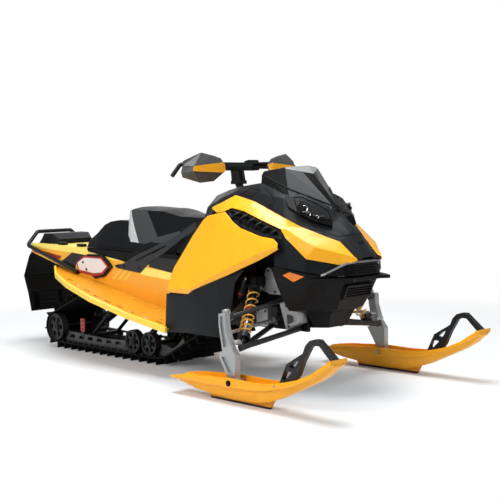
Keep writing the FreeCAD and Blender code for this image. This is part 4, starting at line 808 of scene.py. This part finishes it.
def make_footwells():
    """Dark panels across the bay behind each side panel, which close it toward the rider's feet."""
    form = Form()
    skin = surface_of("side_panels", "lower_panels")
    core = surface_of("tank", "hood", "tunnel", "engine")
    rows = []
    for i in range(FOOTWELL_ROWS):
        z = FOOTWELL_LOW + i * FOOTWELL_STEP
        x = FOOTWELL_X + max(0.0, z - FOOTWELL_BEND) * FOOTWELL_SLOPE
        back = x + FOOTWELL_WALL
        out = skin.ray_cast(Vector((x, -0.215, z)), Vector((0, -1, 0)))[0]
        if out is None:
            continue
        inner = core.ray_cast(Vector((x, out.y + 0.004, z)), Vector((0, 1, 0)))[0]
        reach = -0.16 if inner is None else min(inner.y + 0.002, -0.10)
        edge = out.y + 0.0005
        rows.append([(x, edge, z), (x, reach, z), (back, reach, z), (back, edge, z)])
    form.loft(rows)
    form.mirror()
    form.piece("footwell_panels", ["black"])


def flap_front(z):
    """The snow flap's front face at a height."""
    for (high, a), (low, b) in zip(FLAP_ROWS, FLAP_ROWS[1:]):
        if z >= low:
            return a + (b - a) * (high - z) / (high - low)
    return FLAP_ROWS[-1][1]


def make_flap_relief():
    """Folds, ribs and the two pockets on the snow flap's front; the pockets are flat near-black patches,
    painted shade for their recesses.
    """
    form = Form()
    for z, half in ((0.500, 0.190), (0.436, 0.188), (0.347, 0.180)):
        x = flap_front(z) + 0.0005
        form.sweep([(x, -half, z), (x, half, z)], 0.0026, 8, 0)
    for z in (0.318, 0.290, 0.262):
        x = flap_front(z) + 0.0005
        for y0, y1 in ((-0.105, 0.034), (0.076, 0.150)):
            form.sweep([(x, y0, z), (x, y1, z)], 0.0034, 8, 0)
    # The pockets: thin flat slabs in the gap's near-black, painted shade where the flap is recessed
    high, low = 0.332, 0.230
    for y0, y1 in ((-0.150, -0.112), (0.038, 0.070)):
        rings = []
        for rise in (0.0012, -0.0010):
            top = flap_front(high) + rise
            foot = flap_front(low) + rise
            rings.append([(top, y0, high), (top, y1, high), (foot, y1, low), (foot, y0, low)])
        form.loft(rings, 1)
    form.piece("flap_relief", ["panel", "seam"])


def make_skid_trim():
    """The red link on the slide rail, its bolts and the clips along the track's edge."""
    form = Form()
    x = LINK_X
    foot = [(x - 0.012, 0.080), (x + 0.012, 0.080), (x + 0.012, 0.125), (x - 0.012, 0.125)]
    link = [(x - 0.022, 0.118), (x + 0.020, 0.118), (x + 0.022, 0.198), (x - 0.020, 0.198)]
    form.prism(foot, -0.1390, -0.1330, 1)
    form.prism(link, -0.1400, -0.1320, 0)
    for z in (0.132, 0.158, 0.184):
        form.sweep([(x, -0.138, z), (x, -0.1425, z)], 0.0065, 12, 1)
    form.piece("rail_links", ["red", "black_metal"], smooth=30)
    clips = Form()
    for i in range(17):
        x = -1.120 + i * 0.0588
        clip = [(x - 0.006, 0.036), (x + 0.006, 0.036), (x + 0.004, 0.052), (x - 0.004, 0.052)]
        clips.prism(clip, -0.172, -0.168, 0)
    clips.mirror()
    clips.piece("track_clips", ["rail"])


def make_ski_trim():
    """The pivot's cap, a screw and the moulded rims on the outer side of each ski."""
    skin = surface_of("ski_right")
    x, y, z = SKI_PIVOT
    screw_at, screw_normal = sight(skin, SKI_SCREW)
    for side, name in ((1, "ski_right"), (-1, "ski_left")):
        form = Form()
        form.sweep([(x, (y + 0.010) * side, z), (x, y * side, z)], 0.0135, 20, 0)
        hit = Vector((screw_at.x, screw_at.y * side, screw_at.z))
        normal = Vector((screw_normal.x, screw_normal.y * side, screw_normal.z))
        form.cap(hit, normal, (-0.002, 0.0016, 0.0022), (0.0050, 0.0050, 0.0040), 16, 1)
        form.piece("bolts_" + name, ["seam", "steel"], body=name, smooth=40)
        rims = Form()
        for line, radius in ((SKI_RIM, 0.0040), (SKI_CHINE, 0.0026)):
            laid = drop(skin, line)
            last = len(laid) - 1
            radii = [radius * min(1.0, 0.2 + i / 5, 0.2 + (last - i) / 5) for i in range(last + 1)]
            rims.sweep([(p.x, (p.y + 0.0018) * side, p.z) for p in laid], radii, 8)
        rims.piece("rims_" + name, ["ski"], body=name, smooth=60)


def make_floor():
    """A white floor that keeps the object's shadow and fades out to pure white."""
    bpy.ops.mesh.primitive_plane_add(size=FLOOR_SIZE, location=(0, 0, 0))
    floor = bpy.context.object
    floor.name = "floor"
    m = bpy.data.materials.new("floor_white")
    m.use_nodes = True
    t = m.node_tree
    shader = t.nodes["Principled BSDF"]
    seen = t.nodes.new("ShaderNodeLightPath").outputs["Is Camera Ray"]
    shader.inputs["Base Color"].default_value = FLOOR_COLOUR
    shader.inputs["Roughness"].default_value = FLOOR_ROUGH
    shader.inputs["Emission Color"].default_value = WHITE
    t.links.new(combine(t, "MULTIPLY", seen, FLOOR_GLOW), shader.inputs["Emission Strength"])
    away = t.nodes.new("ShaderNodeVectorMath")
    away.operation = "LENGTH"
    t.links.new(t.nodes.new("ShaderNodeTexCoord").outputs["Object"], away.inputs[0])
    far = ramp(t, away.outputs["Value"], FLOOR_NEAR, FLOOR_FAR)
    white = t.nodes.new("ShaderNodeEmission")
    white.inputs["Color"].default_value = WHITE
    fade = t.nodes.new("ShaderNodeMixShader")
    t.links.new(combine(t, "MULTIPLY", far, seen), fade.inputs["Fac"])
    t.links.new(shader.outputs["BSDF"], fade.inputs[1])
    t.links.new(white.outputs["Emission"], fade.inputs[2])
    t.links.new(fade.outputs["Shader"], t.nodes["Material Output"].inputs["Surface"])
    floor.data.materials.append(m)


def make_world():
    """A plain world that lights softly and is seen as white."""
    world = bpy.data.worlds.new("studio")
    bpy.context.scene.world = world
    world.use_nodes = True
    t = world.node_tree
    lit = t.nodes["Background"]
    shown = t.nodes.new("ShaderNodeBackground")
    for background, strength in ((lit, WORLD_STRENGTH), (shown, 1.0)):
        background.inputs["Color"].default_value = WHITE
        background.inputs["Strength"].default_value = strength
    seen = t.nodes.new("ShaderNodeLightPath").outputs["Is Camera Ray"]
    pick = t.nodes.new("ShaderNodeMixShader")
    t.links.new(seen, pick.inputs["Fac"])
    t.links.new(lit.outputs["Background"], pick.inputs[1])
    t.links.new(shown.outputs["Background"], pick.inputs[2])
    t.links.new(pick.outputs["Shader"], t.nodes["World Output"].inputs["Surface"])


def make_lights():
    """Soft square lamps, aimed at the middle of the object."""
    for name, at, size, watts in LAMPS:
        lamp = bpy.data.lights.new(name, "AREA")
        lamp.size = size
        lamp.energy = watts
        o = bpy.data.objects.new(name, lamp)
        bpy.context.scene.collection.objects.link(o)
        o.location = at
        o.rotation_euler = (LAMP_AIM - Vector(at)).to_track_quat("-Z", "Y").to_euler()


def make_camera():
    """The viewpoint of the main picture."""
    cam = bpy.data.cameras.new("camera")
    cam.lens = CAMERA_LENS
    cam.sensor_width = SENSOR
    o = bpy.data.objects.new("camera", cam)
    bpy.context.scene.collection.objects.link(o)
    level = math.cos(CAMERA_ELEVATION)
    back = Vector((math.sin(CAMERA_AZIMUTH) * level, -math.cos(CAMERA_AZIMUTH) * level,
                   math.sin(CAMERA_ELEVATION)))
    turn = (-back).to_track_quat("-Z", "Y").to_matrix().to_4x4()
    o.matrix_world = Matrix.Translation(CAMERA_AT) @ turn @ Matrix.Rotation(CAMERA_ROLL, 4, "Z")
    bpy.context.scene.camera = o


for name in SOFT_NODES:
    soften(name)
seat_cushion()
make_springs()
make_shock_trim()
make_tunnel_print()
make_box_skirt()
make_number_plates()
make_bolts()
make_wheel_trim()
make_lamps()
make_seams()
make_gap_shade_plates()
make_footwells()
make_flap_relief()
make_skid_trim()
make_ski_trim()
make_floor()
make_world()
make_lights()
make_camera()
bpy.context.scene.view_settings.view_transform = "Standard"
